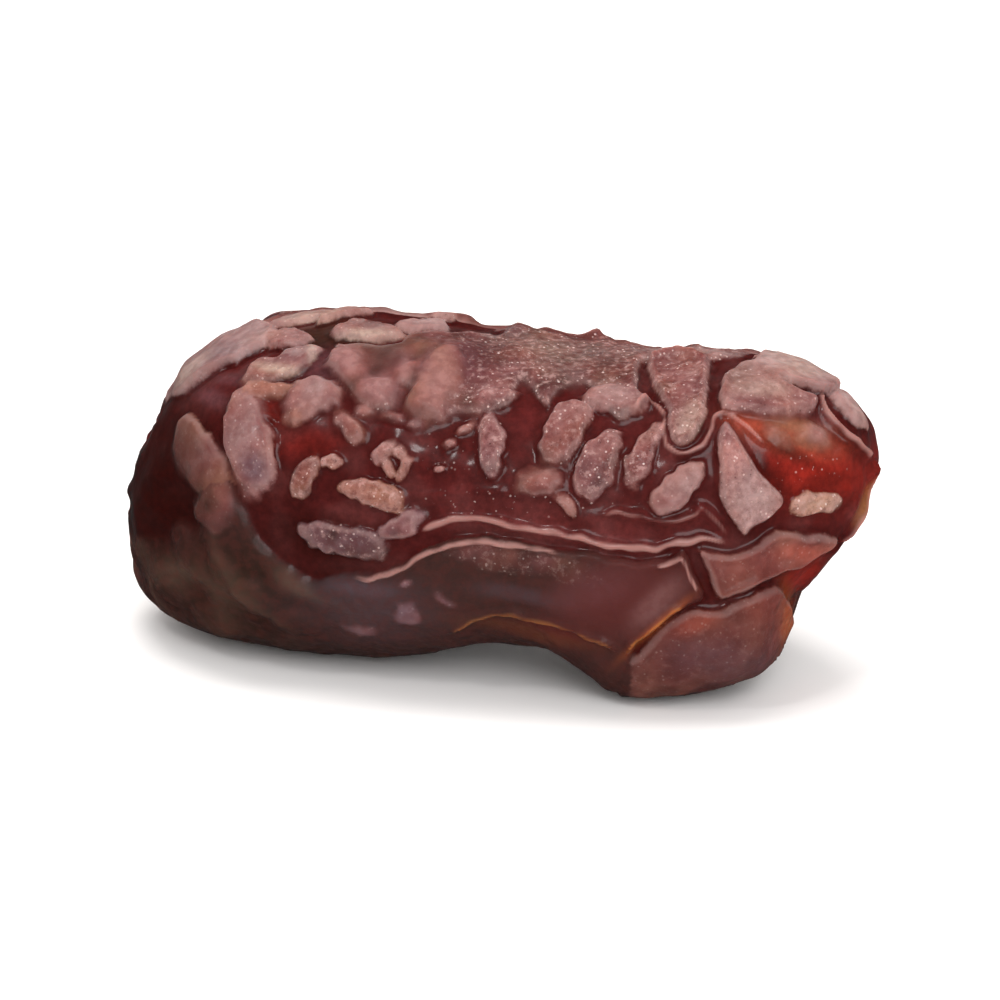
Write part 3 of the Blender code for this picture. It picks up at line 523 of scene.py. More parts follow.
def plate_fields(points):
    """For each place: how much plates cover it, their height, how far inside an edge it lies, and its look.

    A plate rises as a smooth step over the distance inside its outline, with its rim as a bell just inside it.
    """
    shown = as_seen(points)
    wavelength, reach = PLATE_WANDER
    shown += reach * np.stack([ripple(points, wavelength, SEED + 20 + k) for k in range(2)], -1)
    cover, above = np.zeros((2, *points.shape[:-1]))
    nearest = np.full(points.shape[:-1], FAR_OUTSIDE)
    look = np.zeros(points.shape)
    for outline, height, rim, own_look in PLATES:
        inside = inside_outline(shown, outline)
        one = soft_step(PLATE_EDGE, inside)
        curl = (1 - softness) * rim * np.exp(-(((inside - RIM_INSIDE) / RIM_WIDTH) ** 2))
        above = np.maximum(above, one * (height + FLESH_DEPTH) + curl)
        cover = np.maximum(cover, one)
        look = np.where((inside > nearest)[..., None], own_look, look)
        nearest = np.maximum(nearest, inside)
    return cover, above - FLESH_DEPTH * cover, nearest, look


plate, plate_top, plate_inside, plate_look = plate_fields(places)

# Crests: thin upright creases where the drying skin has folded on itself. Each front one has
# its width, height and paleness and the points (u, v) that it runs through. Those on the side
# turned away wander along the fruit.
CRESTS = (
    (0.27, 0.5, 1.0, (
        (-4.8, -2.2), (-4.2, -1.7), (-3.2, -1.3), (-2.0, -1.1), (-0.5, -1.2), (1.0, -1.6), (3.0, -1.9),
        (4.5, -2.2), (6.5, -2.7), (9.0, -2.9), (10.0, -2.7), (11.5, -2.4), (13.0, -2.4), (14.3, -2.9))),
    (0.2, 0.4, 1.0, (
        (-9.6, -4.7), (-7.2, -4.5), (-5.8, -4.0), (-4.3, -3.1), (-3.0, -2.7), (-1.3, -2.4), (0.5, -2.6),
        (2.5, -2.9), (5.0, -3.3))),
    (0.2, 0.4, 0.9, ((9.2, -3.8), (10.3, -3.6), (10.8, -3.4), (11.3, -4.5), (12.0, -5.8))),
    (0.2, 0.4, 0.8, ((7.4, -9.0), (8.7, -7.9), (10.0, -6.8), (11.1, -6.1))),
    (0.22, 0.45, 0.7, (
        (-3.6, -7.8), (-1.5, -7.0), (0.0, -6.7), (2.0, -6.9), (3.5, -7.2), (5.0, -7.8), (6.4, -8.4),
        (7.4, -9.0))),
    (0.35, 0.15, 0.35, ((-5.0, 0.2), (-3.5, 0.3), (-1.5, 0.5), (1.2, 0.5))),
    (0.27, 0.4, 0.6, (
        (5.0, -1.1), (7.0, -0.8), (8.5, -1.0), (9.5, -1.3), (10.5, -1.2), (11.5, -0.9), (12.0, -0.4),
        (12.4, -0.8), (13.2, -1.8), (14.2, -2.9))),
    (0.23, 0.45, 0.85, (
        (7.6, 4.6), (8.1, 5.4), (8.6, 5.9), (9.2, 5.9), (9.7, 5.3), (9.8, 4.0), (9.9, 3.1), (10.8, 2.8),
        (11.9, 3.1), (12.4, 4.0), (12.7, 4.8), (13.2, 5.2), (13.9, 5.0), (14.7, 4.4), (15.6, 3.5),
        (16.6, 3.0))),
    (0.25, 0.4, 0.6, ((8.8, 8.2), (10.5, 8.4), (12.6, 8.2))),
    (0.27, 0.45, 0.9, ((19.2, 6.5), (19.4, 5.4), (20.3, 4.2), (21.4, 3.1), (22.1, 2.5))),
    (0.25, 0.45, 0.8, ((22.1, 2.4), (22.0, 1.0), (21.5, -0.6), (20.8, -1.9), (20.2, -2.5))),
    (0.25, 0.3, 0.5, ((-15.8, 6.0), (-14.9, 6.5), (-13.9, 5.3), (-12.9, 4.2))),
)
CREST_REACH = 3
CREST_TAPER = 0.1
CREST_UNEVENNESS = (5, 0.3)
CREST_WANDER = (1.4, 0.08)
CREST_FADING = (1.8, 0.15)
REAR_CREST = (0.27, 0.5, 0.6)
REAR_CRESTS = (128, 152, 186, 222, 246)
REAR_CREST_END = 19
REAR_CREST_SPARE = 6
REAR_CREST_PLACES = 90
REAR_CREST_WAVES = ((7, 3.1), (4, 1.3))


def crest_lines():
    """Every crest's width, height and paleness and its row of places, which run in waves at the rear."""
    lines = [(*shape, on_skin(through(points))[0]) for *shape, points in CRESTS]
    draw = np.random.default_rng(SEED + 50)
    for middle in REAR_CRESTS:
        drawn = draw.uniform(-REAR_CREST_END, REAR_CREST_END, 2)
        ends = sorted(drawn + (-REAR_CREST_SPARE, REAR_CREST_SPARE))
        run = np.linspace(*np.clip(ends, -REAR_CREST_END, REAR_CREST_END), REAR_CREST_PLACES)
        waves = sum(reach * np.sin(run / length + draw.uniform(0, 6)) for reach, length in REAR_CREST_WAVES)
        lines.append((*REAR_CREST, section(run, np.radians(middle + waves))))
    return lines


def crest_fields(points, lines):
    """The crests' height and paleness at each place: a bell over the distance to a line, less at its ends."""
    wavelength, reach = CREST_WANDER
    moved = points + reach * np.stack([ripple(points, wavelength, SEED + 140 + k) for k in range(3)], -1)
    height, pale = np.zeros((2, *points.shape[:-1]))
    for width, high, paleness, line in lines:
        reach = CREST_REACH * width
        near = np.all((points > line.min(0) - reach) & (points < line.max(0) + reach), -1)
        spots = moved[near]
        strength = np.zeros(len(spots))
        share_along = np.linspace(0, 1, len(line))
        taper = smooth(0, CREST_TAPER, share_along) * smooth(1, 1 - CREST_TAPER, share_along)
        for start, end, first, second in zip(line, line[1:], taper, taper[1:]):
            run = end - start
            share = np.clip((spots - start) @ run / (run @ run), 0, 1)
            squared = np.sum((spots - start - share[:, None] * run) ** 2, -1)
            strength = np.maximum(strength, (first + (second - first) * share) * np.exp(-squared / width**2))
        height[near] = np.maximum(height[near], high * strength)
        pale[near] = np.maximum(pale[near], paleness * strength)
    pale *= 1 - CREST_FADING[1] + CREST_FADING[1] * ripple(points, CREST_FADING[0], SEED + 71)
    return height * (1 + CREST_UNEVENNESS[1] * (ripple(points, CREST_UNEVENNESS[0], SEED + 70) - 0.5)), pale


crest_height, crest_pale_and_highlight = crest_fields(places, crest_lines())

# Bare flesh: where the dry skin has split and drawn back, the soft flesh below lies open, smooth and sticky.
# It lies open over the front between the plates, and in a band along the side turned away.
FRONT_EDGE = (0.03, 0.2)
FRONT_WANDER = ((7, 0.09), (2.5, 0.05))
FRONT_ENDS = ((-20, -17), (22.5, 20.5))
PLATE_FACING = 0.15
OPENS = (0.2, 0.7)
REAR_BAND = (146, 214)
REAR_EDGE = 3
REAR_WANDER = ((11, 9), (4, 4.5))
REAR_ENDS = ((-17, -14), (18, 15))

facing = normals @ seen_axes()[2]
uneven = sum(reach * ripple(places, length, SEED + 78) for length, reach in FRONT_WANDER)
front_flesh = smooth(*FRONT_EDGE, facing + uneven)
degrees = np.degrees(form_angle) % 360
wander = sum(reach * ripple(places, length, SEED + 80) for length, reach in REAR_WANDER)
rear_flesh = smooth(-REAR_EDGE, REAR_EDGE, degrees - REAR_BAND[0] + wander)
rear_flesh = rear_flesh * smooth(-REAR_EDGE, REAR_EDGE, REAR_BAND[1] - degrees + wander)
for ends, part in ((FRONT_ENDS, front_flesh), (REAR_ENDS, rear_flesh)):
    part *= smooth(*ends[0], form_x) * smooth(*ends[1], form_x)
plate_shows = smooth(0, PLATE_FACING, front_flesh)
opening = np.maximum(front_flesh, rear_flesh)
bare = opening * (1 - np.maximum(blister, plate * plate_shows))

# The ends: the stem scar is a round pit in a low pale rim where the stem cap came off, and the tip keeps the
# small point that the flower left. SCAR_EDGE is the pit's side, from its outer to its inner radius, SCAR_RIM the
# rim's radius, width and height, and TIP_POINT the point's reach and height.
SCAR_DEPTH = 0.8
SCAR_EDGE = (1.725, 0.9)
SCAR_RIM = (2.1, 0.5, 0.3)
TIP_POINT = (0.6, 0.35)

from_stem = np.linalg.norm(places - section(np.array(-LENGTH / 2), np.array(0.0)), axis=-1)
from_tip = np.linalg.norm(places - section(np.array(LENGTH / 2), np.array(0.0)), axis=-1)
scar = smooth(*SCAR_EDGE, from_stem)
scar_rim = np.exp(-(((from_stem - SCAR_RIM[0]) / SCAR_RIM[1]) ** 2))
end_marks = SCAR_RIM[2] * scar_rim - SCAR_DEPTH * scar
end_marks += TIP_POINT[1] * np.exp(-((from_tip / TIP_POINT[0]) ** 2))

# The relief: soft folds in all of the skin, the marks above on them, and then what is finer than the solid
# holds: rims, lumps and sugar on the pads, wrinkles and creases in slack skin, and pleats in the flesh and
# round the stem. Where the fruit lies on the table, all of it is pressed nearly flat.

# Each has its wavelength and height, but PAD_RIM has its distance inside the edge, its width and its height, and
# STEM_PLEATS their number and height.
FOLDS = ((7, 0.18), (3, 0.08))
PAD_EDGE = (-0.1, 0.3)
BLISTER_OVER_PLATE = (-0.1, 0.35)
PAD_RIM = (0.3, 0.18, 0.04)
PAD_LUMPS = (1.4, 0.035)
SUGAR_LUMPS = (0.7, 0.03)
SKIN_WRINKLES = (1.9, 0.035)
SLACK_WRINKLES = (2.2, 0.06)
SOFT_LUMPS = (0.9, 0.05)
STEM_PLEATS = (13, 0.1)
STEM_PLEAT_SWAY = (6, 2.0)
STEM_PLEAT_START = (1.6, 2.8)
STEM_PLEAT_END = (9, 4)
PLEATS = (1.2, 0.015)
PLEAT_STRETCH = (0.12, 1, 1)
CREASES = (5.5, 0.22)
CREASE_STRETCH = (0.6, 1, 1)
CREASE_SHARPNESS = 1.5
SLACK_FLANK = (-16.5, -5.0, 6.5, 3.4, -12)
LYING_SHARE = 0.25
LYING_ANGLES = (38, 20)
LYING_ENDS = (20, 15)


def pressed(heights):
    """The heights as they are where the fruit lies on the table: pressed to LYING_SHARE of themselves."""
    from_below = np.abs((np.degrees(form_angle) + 270) % 360 - 180)
    lying = smooth(*LYING_ANGLES, from_below) * smooth(*LYING_ENDS, np.abs(form_x))
    return heights * (1 - (1 - LYING_SHARE) * lying)


plate_nearer = (plate_inside > blister_inside) & (plate_shows > 0.5)
pad_inside = np.where(plate_nearer, plate_inside, blister_inside)
on_blister = np.where(plate_nearer, smooth(*BLISTER_OVER_PLATE, blister_inside), 1)[..., None]
pad_look = plate_look + on_blister * (blister_look - plate_look)
pad_pale, pad_tan, pad_sugar = np.moveaxis(pad_look, -1, 0)
on_pad = smooth(*PAD_EDGE, pad_inside) * opening
slack = np.maximum(1 - smooth(*OPENS, opening), patch(as_seen(places), *SLACK_FLANK))
creased = np.clip(1 - np.abs(ripple(places * CREASE_STRETCH, CREASES[0], SEED + 105)), 0, 1)
creased = creased**CREASE_SHARPNESS
around_stem = smooth(*STEM_PLEAT_START, from_stem) * smooth(*STEM_PLEAT_END, from_stem)
stem_sway = STEM_PLEAT_SWAY[1] * ripple(places, STEM_PLEAT_SWAY[0], SEED + 108)
stem_pleats = np.sin(STEM_PLEATS[0] * form_angle + stem_sway)

heights = sum(height * ripple(places, length, SEED + 90 + k) for k, (length, height) in enumerate(FOLDS))
heights = heights - FLESH_DEPTH * bare + np.maximum(np.maximum(blister_top, plate_top * plate_shows), 0)
heights = heights + crest_height
heights += (1 - softness) * on_pad * PAD_RIM[2] * np.exp(-(((pad_inside - PAD_RIM[0]) / PAD_RIM[1]) ** 2))
for share, (length, height), seed in (
    (on_pad, PAD_LUMPS, 101), (on_pad * pad_sugar, SUGAR_LUMPS, 102), (1 - bare, SKIN_WRINKLES, 103),
    (slack, SLACK_WRINKLES, 106), (softness * on_pad, SOFT_LUMPS, 107),
):
    heights += share * height * ripple(places, length, SEED + seed)
heights += slack * CREASES[1] * (creased - 0.5)
heights += around_stem * STEM_PLEATS[1] * stem_pleats
heights += bare * PLEATS[1] * ripple(places * PLEAT_STRETCH, PLEATS[0], SEED + 104)
skin = places + normals * (pressed(heights) + end_marks)[..., None]
solid_middle = (solid_low + solid_high)[:2] / MM / 2
skin += np.append(solid_middle - (skin.min((0, 1)) + skin.max((0, 1)))[:2] / 2, -SINK)
skin[..., 2] = np.maximum(skin[..., 2], 0)

# The colours: deep red flesh, brown skin, and pads from brown through pink to a pale bloom. Every place has
# the colour that its flesh would have and the colour that its skin would have, and the material chooses. The
# lights are strong enough to show the table nearly white, and EXPOSURE takes that off every other colour.
EXPOSURE = 0.75


def hue(red, green, blue):
    """A colour as a screen shows it, 0 to 255, as the light that it stands for under these lights."""
    shown = np.array([red, green, blue]) / 255
    return EXPOSURE * np.where(shown > 0.04045, ((shown + 0.055) / 1.055) ** 2.4, shown / 12.92)


FLESH_RED = hue(91, 26, 25)
FLESH_DARK = hue(40, 5, 2)
SKIN_BROWN = hue(63, 36, 32)
PAD_PINK = hue(136, 79, 75)
PAD_PALE = hue(185, 152, 147)
TAN = hue(181, 125, 94)
MAUVE = hue(98, 82, 92)
OLIVE = hue(54, 38, 26)
MAROON = hue(92, 36, 34)
SALMON = hue(195, 84, 60)
SCARLET = hue(146, 32, 20)
# The amber is painted light: the glow of light shining through thin skin edges.
LIT_EDGE_AMBER = hue(204, 101, 29)
STRAW = hue(207, 154, 92)
ROSE = hue(167, 121, 118)
DUST = hue(142, 118, 108)
PLUM = hue(112, 66, 70)
# The pale crease colour is painted light, on lumps and crease ridges of slack skin.
LIT_CREASE_PALE = hue(106, 80, 66)
CREAM = hue(205, 181, 164)
FLESH_BLOOM = hue(126, 68, 66)

# Stains and patches of painted light and shade on the side that shows: u, v, half length, half width, turn,
# colour, strength, and whether each lies in the flesh, in the skin or in both. The painted ones are marked.
STAINS_AND_PAINTED_LIGHT = (
    # The first row darkens the stem end: partly its own dark red flesh and partly painted shade, the shadow of a
    # neighbouring date.
    (-21.5, 0.5, 4.8, 8.0, 0, FLESH_DARK, 0.92, "both"),
    (-18.5, -1.0, 2.5, 3.0, -40, FLESH_DARK, 0.4, "flesh"),
    (-11.6, -2.6, 4.0, 2.2, -30, FLESH_DARK, 0.7, "flesh"),
    (-15.5, -5.5, 6.0, 3.0, -15, OLIVE, 0.8, "skin"),
    # Painted reflection: a bluish-grey sheen on the glossy lower flank, in mauve.
    (-8.5, -6.3, 4.8, 2.2, -5, MAUVE, 0.25, "skin"),
    (7.5, -5.5, 4.8, 2.4, 20, MAROON, 0.85, "skin"),
    (12.5, -8.5, 5.5, 3.0, -5, MAROON, 0.6, "skin"),
    # Painted light: these five rows make the thin skin edges low on the fruit and under the tip glow amber and
    # scarlet where light shines through them.
    (2.0, -7.9, 4.0, 0.4, -12, LIT_EDGE_AMBER, 0.1, "both"),
    (3.2, -7.6, 2.2, 0.4, -16, SCARLET, 0.15, "both"),
    (9.3, -7.5, 2.6, 0.3, 42, LIT_EDGE_AMBER, 0.4, "both"),
    (17.3, -7.2, 0.6, 2.0, 0, LIT_EDGE_AMBER, 0.7, "both"),
    (18.6, -4.4, 1.7, 0.9, 35, SCARLET, 0.8, "both"),
    # The tip's flesh is partly a brighter red of its own and partly painted light, glowing scarlet where light
    # shines through.
    (18.6, 1.4, 3.8, 2.2, 0, SCARLET, 0.95, "flesh"),
    (16.8, 4.0, 3.2, 1.1, -15, SALMON, 0.75, "flesh"),
    (19.0, 3.6, 1.6, 0.9, -30, SALMON, 0.5, "flesh"),
    (21.7, -0.2, 0.2, 2.4, -20, STRAW, 0.3, "both"),
    (7.2, 8.0, 1.3, 0.9, -20, MAROON, 0.45, "skin"),
    (-14.0, 5.6, 1.6, 0.8, -40, SCARLET, 0.35, "flesh"),
    (-11.5, 3.4, 2.5, 1.0, 0, SCARLET, 0.3, "flesh"),
    # Painted highlights: thin pale lines where light grazes the top edge of the fruit.
    (-4.5, 11.0, 3.8, 0.35, -8, PAD_PALE, 0.7, "skin"),
    (12.0, 8.9, 4.0, 0.35, 0, PAD_PALE, 0.6, "skin"),
    (2.5, -0.6, 9.0, 0.9, -4, MAROON, 0.45, "flesh"),
    (13.6, 7.6, 0.5, 1.2, 0, PLUM, 0.4, "skin"),
    (5.0, 0.5, 9.0, 5.0, 0, FLESH_BLOOM, 0.1, "flesh"),
    (1.5, -2.0, 4.5, 0.5, -5, FLESH_BLOOM, 0.4, "flesh"),
    (-14.3, 1.9, 1.1, 0.9, -60, MAUVE, 0.65, "skin"),
    (13.7, 2.6, 0.8, 1.4, 0, SALMON, 0.25, "skin"),
    (-13.6, 8.6, 1.6, 0.6, 5, MAUVE, 0.4, "skin"),
    (3.5, 8.0, 1.6, 1.0, -5, DUST, 0.3, "skin"),
    (15.5, -4.6, 4.6, 2.4, -10, MAROON, 0.5, "skin"),
    (16.8, -8.0, 1.2, 1.6, 0, SALMON, 0.15, "skin"),
    (5.5, -5.2, 2.6, 1.2, 15, PLUM, 0.3, "skin"),
    (1.0, -5.6, 2.5, 0.5, -8, MAUVE, 0.25, "skin"),
    (15.8, -4.0, 3.6, 2.0, -10, SALMON, 0.1, "skin"),
    (-9.2, 8.4, 1.0, 1.3, 20, ROSE, 0.6, "skin"),
    (-7.0, 6.4, 1.1, 0.9, -20, ROSE, 0.7, "both"),
    (-6.8, 8.7, 1.3, 0.8, 0, OLIVE, 0.6, "skin"),
    (-5.9, 6.5, 0.5, 0.9, -10, PLUM, 0.5, "skin"),
    (-4.3, 8.0, 0.4, 1.3, -20, PLUM, 0.5, "skin"),
    (-2.6, 5.2, 1.2, 0.5, 0, PLUM, 0.5, "skin"),
    (-7.9, 9.3, 1.6, 0.4, -5, DUST, 0.4, "skin"),
    (-5.5, 7.6, 0.4, 0.8, 0, ROSE, 0.5, "skin"),
    (-4.9, 9.0, 1.2, 0.6, -10, TAN, 0.15, "skin"),
    (-3.6, 6.6, 1.3, 1.6, 0, ROSE, 0.55, "both"),
    (-1.5, 8.3, 1.2, 1.4, 0, PLUM, 0.9, "skin"),
    (-0.8, 8.7, 1.3, 1.0, 0, SKIN_BROWN, 0.5, "skin"),
    (6.0, 8.2, 1.5, 0.5, -12, SKIN_BROWN, 0.35, "skin"),
    (1.0, 7.8, 1.0, 0.6, 20, ROSE, 0.3, "skin"),
    (-0.2, 6.3, 1.4, 0.7, 0, ROSE, 0.4, "skin"),
    (5.0, 9.0, 3.5, 0.8, -8, DUST, 0.35, "skin"),
    (1.5, 9.4, 2.5, 0.5, -10, DUST, 0.35, "skin"),
    (6.9, 6.2, 1.2, 0.8, -45, PAD_PALE, 0.4, "skin"),
    (9.8, 8.0, 1.0, 0.5, 0, PLUM, 0.6, "skin"),
    (11.3, 4.6, 0.8, 1.4, -30, CREAM, 0.35, "skin"),
    (14.3, 7.4, 1.0, 0.8, 0, DUST, 0.5, "skin"),
    (15.5, 6.4, 1.6, 0.5, 0, CREAM, 0.3, "skin"),
    (13.4, 4.0, 0.6, 0.9, -20, PLUM, 0.7, "skin"),
    (15.2, -0.3, 1.2, 1.4, -30, PAD_PALE, 0.5, "skin"),
    (19.0, 4.1, 0.7, 0.6, 0, ROSE, 0.6, "both"),
    (19.0, -0.3, 1.3, 0.7, -5, CREAM, 0.3, "skin"),
    # Painted highlight: a pale pink streak of light along the fold low on the right of the flank.
    (9.4, -6.0, 2.0, 0.8, 42, ROSE, 0.25, "skin"),
    # Painted reflection: a bluish-grey sheen on the glossy lower flank, in mauve.
    (-8.2, -5.2, 2.2, 0.45, -3, MAUVE, 0.35, "skin"),
    (-12.8, 7.8, 1.7, 0.3, -3, CREAM, 0.6, "skin"),
    (-11.1, 9.0, 0.3, 0.8, 0, CREAM, 0.5, "skin"),
    (-18.2, 7.6, 1.6, 0.3, 50, CREAM, 0.3, "skin"),
    (-10.6, 8.2, 1.0, 1.5, -15, PLUM, 0.75, "flesh"),
    (-10.4, 10.2, 3.0, 0.8, 3, OLIVE, 0.75, "flesh"),
    (-14.8, 7.3, 2.4, 0.5, -5, PLUM, 0.7, "flesh"),
    (-17.2, 6.3, 1.2, 0.6, -20, PLUM, 0.6, "flesh"),
    (-5.2, 9.3, 1.4, 0.5, 0, OLIVE, 0.4, "skin"),
    (-8.0, 9.9, 2.0, 0.25, 3, CREAM, 0.6, "skin"),
    (-7.6, 10.5, 1.2, 0.3, 0, OLIVE, 0.35, "skin"),
    (-11.4, 11.0, 1.7, 0.35, 2, CREAM, 0.4, "skin"),
    (17.9, 8.0, 2.4, 0.8, -22, CREAM, 0.25, "skin"),
    (15.6, 2.0, 1.0, 0.5, -58, FLESH_DARK, 0.6, "flesh"),
    (14.9, 4.5, 1.7, 0.5, -22, SALMON, 0.6, "flesh"),
    (17.6, 4.6, 1.8, 0.5, -12, TAN, 0.55, "flesh"),
    (17.3, 2.9, 2.7, 0.45, -28, FLESH_DARK, 0.5, "flesh"),
    (18.2, 3.5, 1.0, 0.35, -20, TAN, 0.45, "flesh"),
    (21.0, 3.2, 1.3, 0.6, -50, FLESH_DARK, 0.5, "flesh"),
    (19.8, 1.2, 1.3, 0.5, 10, FLESH_DARK, 0.45, "flesh"),
    (16.7, 1.0, 0.7, 1.3, 10, FLESH_DARK, 0.5, "flesh"),
    (15.6, -6.3, 1.6, 0.9, -10, SALMON, 0.12, "skin"),
    (13.2, -9.4, 3.2, 1.2, -5, MAUVE, 0.3, "skin"),
    (11.6, -7.2, 1.5, 0.6, 20, SALMON, 0.25, "skin"),
    (18.0, -3.0, 1.6, 0.5, 5, SALMON, 0.35, "skin"),
    # Painted light and shade on the lumpy left flank: the pale rows light the tops of its lobes, and the dark
    # row at (-17.4, -5.6) is painted shade in a crevice between them.
    (-18.6, -4.2, 1.6, 1.0, -20, LIT_CREASE_PALE, 0.25, "skin"),
    (-15.6, -6.0, 1.9, 0.9, -30, LIT_CREASE_PALE, 0.2, "skin"),
    (-17.4, -5.6, 0.9, 1.6, 20, FLESH_DARK, 0.5, "skin"),
    (-13.2, -7.4, 2.2, 0.8, -10, FLESH_DARK, 0.35, "skin"),
    (-12.2, -4.9, 1.8, 0.5, -38, LIT_CREASE_PALE, 0.35, "skin"),
    (-13.0, -6.8, 5.5, 1.6, -12, FLESH_DARK, 0.25, "skin"),
)
SEEN_FACING = (0, 0.2)
# The crests' pale pink is partly the fold's own dry skin and partly a painted highlight along each ridge.
CREST_PINK_AND_HIGHLIGHT = hue(186, 138, 130)
CREST_GLOW_AMBER = hue(183, 118, 60)
PALE_STEPS = ((0, 0.45), (0.35, 1))
TAN_SHARE = 0.7
MAUVE_SHARE = 0.8


def tint(colours, share, colour):
    """The colours, drawn towards one colour by the share at each place."""
    return colours + share[..., None] * (colour - colours)


def pad_colours(pale, tan):
    """Brown skin at 0, pink at a half and pale bloom at 1, turned towards tan above 0 and mauve below it."""
    colours = tint(np.broadcast_to(SKIN_BROWN, pale.shape + (3,)), smooth(*PALE_STEPS[0], pale), PAD_PINK)
    colours = tint(colours, np.interp(pale, PALE_STEPS[1], (0, 1)), PAD_PALE)
    colours = tint(colours, TAN_SHARE * np.clip(tan, 0, 1), TAN)
    return tint(colours, MAUVE_SHARE * np.clip(-tan, 0, 1), MAUVE)


def with_stains_and_painted_light(flesh, skin_colours):
    """Both colours with the stains and the painted light and shade, each a soft patch in the view."""
    shown = as_seen(places)
    for *oblong, colour, strength, layer in STAINS_AND_PAINTED_LIGHT:
        share = strength * smooth(*SEEN_FACING, facing) * patch(shown, *oblong)
        if layer != "skin":
            flesh = tint(flesh, share, colour)
        if layer != "flesh":
            skin_colours = tint(skin_colours, share, colour)
    return flesh, skin_colours


# Bare flesh shows over both ends too, as far as these borders, which wander by a wavelength and a reach: x at
# the stem end, v below it, x at the tip and how far the skin there faces the eye.
STEM_DOME = ((-13.5, -17.5), (6, 1.2))
STEM_DOME_LOW = ((-3.5, -1.0), (4, 0.6))
TIP_DOME = ((18.5, 20.5), (5, 1.5))
TIP_DOME_FACING = ((-0.5, -0.2), (4.5, 0.12))
OPEN_LEAST = 0.3


def wandering(border, value, seed):
    """A smooth step over a border's two limits in a value that wanders by the border's wave."""
    limits, (length, reach) = border
    return smooth(*limits, value + reach * ripple(places, length, SEED + seed))


shown_up = as_seen(places)[..., 1]
stem_dome = wandering(STEM_DOME, form_x, 130) * wandering(STEM_DOME_LOW, shown_up, 131)
tip_dome = wandering(TIP_DOME, form_x, 132) * wandering(TIP_DOME_FACING, facing, 133)
open_colour = np.maximum(opening, np.maximum(stem_dome, tip_dome))
whole = 1 - smooth(*OPENS, open_colour)
edge = np.maximum(np.where(open_colour > OPEN_LEAST, pad_inside, FAR_OUTSIDE), 1 - 2 * open_colour)

# How pale, tan and sugary each place is: pads by their look, darker near their edges and
# mottled, and whole skin by how far it lies on the top side, paler and more sugary there. Flecks of
# sugar also lie in some of the flesh.
PAD_EDGE_SHADE = (0.8, 0.8)
MOTTLES = ((2.6, 0.1), (1.1, 0.07))
MOTTLED_FROM = 0.3
TAN_MOTTLES = (4.0, 0.25)
TAN_FROM = 0.25
TOP_SIDE = ((35, 75), (175, 130))
WHOLE_PALE = (0.04, 0.26, 0.5)
WHOLE_SUGAR = 0.8
FLECK_SUGAR = 0.55
SUGAR_FREE = (-6.2, 7.8, 4.4, 3.0, 0)
FLECKS = (
    (16.9, 1.5, 1.6, 0.8, -50),
    (18.9, 2.1, 1.6, 0.7, -5),
    (-2.5, 3.2, 2.0, 1.2, 0),
    (1.0, -0.2, 6.0, 0.8, 0),
)

top_side = smooth(*TOP_SIDE[0], degrees) * smooth(*TOP_SIDE[1], degrees)
edge_shade = PAD_EDGE_SHADE[0] + (1 - PAD_EDGE_SHADE[0]) * smooth(0, PAD_EDGE_SHADE[1], pad_inside)
mottle = sum(reach * ripple(places, length, SEED + 110) for length, reach in MOTTLES)
pale_here = (pad_pale * edge_shade + mottle * smooth(0, MOTTLED_FROM, pad_pale)) * (1 - whole)
pale_here += (WHOLE_PALE[0] + WHOLE_PALE[1] * top_side + WHOLE_PALE[2] * mottle) * whole
tan_here = (pad_tan + TAN_MOTTLES[1] * ripple(places, TAN_MOTTLES[0], SEED + 111)) * (1 - whole)
sugar_here = pad_sugar * (1 - whole) + WHOLE_SUGAR * top_side * whole
sugar_here *= 1 - patch(as_seen(places), *SUGAR_FREE)
flecks = sum(patch(as_seen(places), *oblong) for oblong in FLECKS)
sugar_here = np.where(pad_inside > 0, sugar_here, FLECK_SUGAR * flecks * (facing > 0))

# The flesh varies in wide patches and has painted shade between the pleats round the stem and beside each edge.
# Slack skin has painted light on its creases and painted shade between them, and crests low on the fruit glow
# amber with painted light shining through them.
FLESH_PATCHES = ((9, (-0.6, 0.8), 0.3, FLESH_DARK), (3.5, (-0.2, 0.9), 0.3, FLESH_BLOOM))
CREASE_LIGHT_AND_SHADE = ((0.45, 1.0, 0.22, LIT_CREASE_PALE), (0.6, 0.1, 0.4, FLESH_DARK))
PLEAT_SHADE = 0.5
EDGE_SHADOW = (1.1, 0.4)
CREST_GLOW_BELOW = (-5.2, -6.2)
SCAR_TINTS = ((0.8 * scar_rim, hue(150, 108, 80)), (0.95 * scar, hue(62, 40, 28)))

flesh_colours = np.broadcast_to(FLESH_RED, places.shape)
for seed, (length, limits, most, tone) in enumerate(FLESH_PATCHES, SEED + 120):
    flesh_colours = tint(flesh_colours, most * smooth(*limits, ripple(places, length, seed)), tone)
# Painted shade between the pleats round the stem.
flesh_colours = tint(flesh_colours, PLEAT_SHADE * around_stem * smooth(0, -1, stem_pleats), FLESH_DARK)
skin_colours = pad_colours(pale_here, tan_here * smooth(0, TAN_FROM, pale_here))
flesh_colours, skin_colours = with_stains_and_painted_light(flesh_colours, skin_colours)
# Painted light on the crease ridges of slack skin and painted shade in the hollows between them.
for start, end, most, tone in CREASE_LIGHT_AND_SHADE:
    skin_colours = tint(skin_colours, most * slack * smooth(start, end, creased), tone)
flesh_colours = tint(flesh_colours, EDGE_SHADOW[1] * smooth(-EDGE_SHADOW[0], 0, edge), FLESH_DARK)
for share, tone in SCAR_TINTS:
    flesh_colours = tint(flesh_colours, share, tone)
    skin_colours = tint(skin_colours, share, tone)
# Painted light: crests low on the fruit glow amber where light shines through their thin edges.
crest_glow = smooth(*CREST_GLOW_BELOW, shown_up) * smooth(*SEEN_FACING, facing)
crest_colours = tint(np.broadcast_to(CREST_PINK_AND_HIGHLIGHT, places.shape), crest_glow, CREST_GLOW_AMBER)

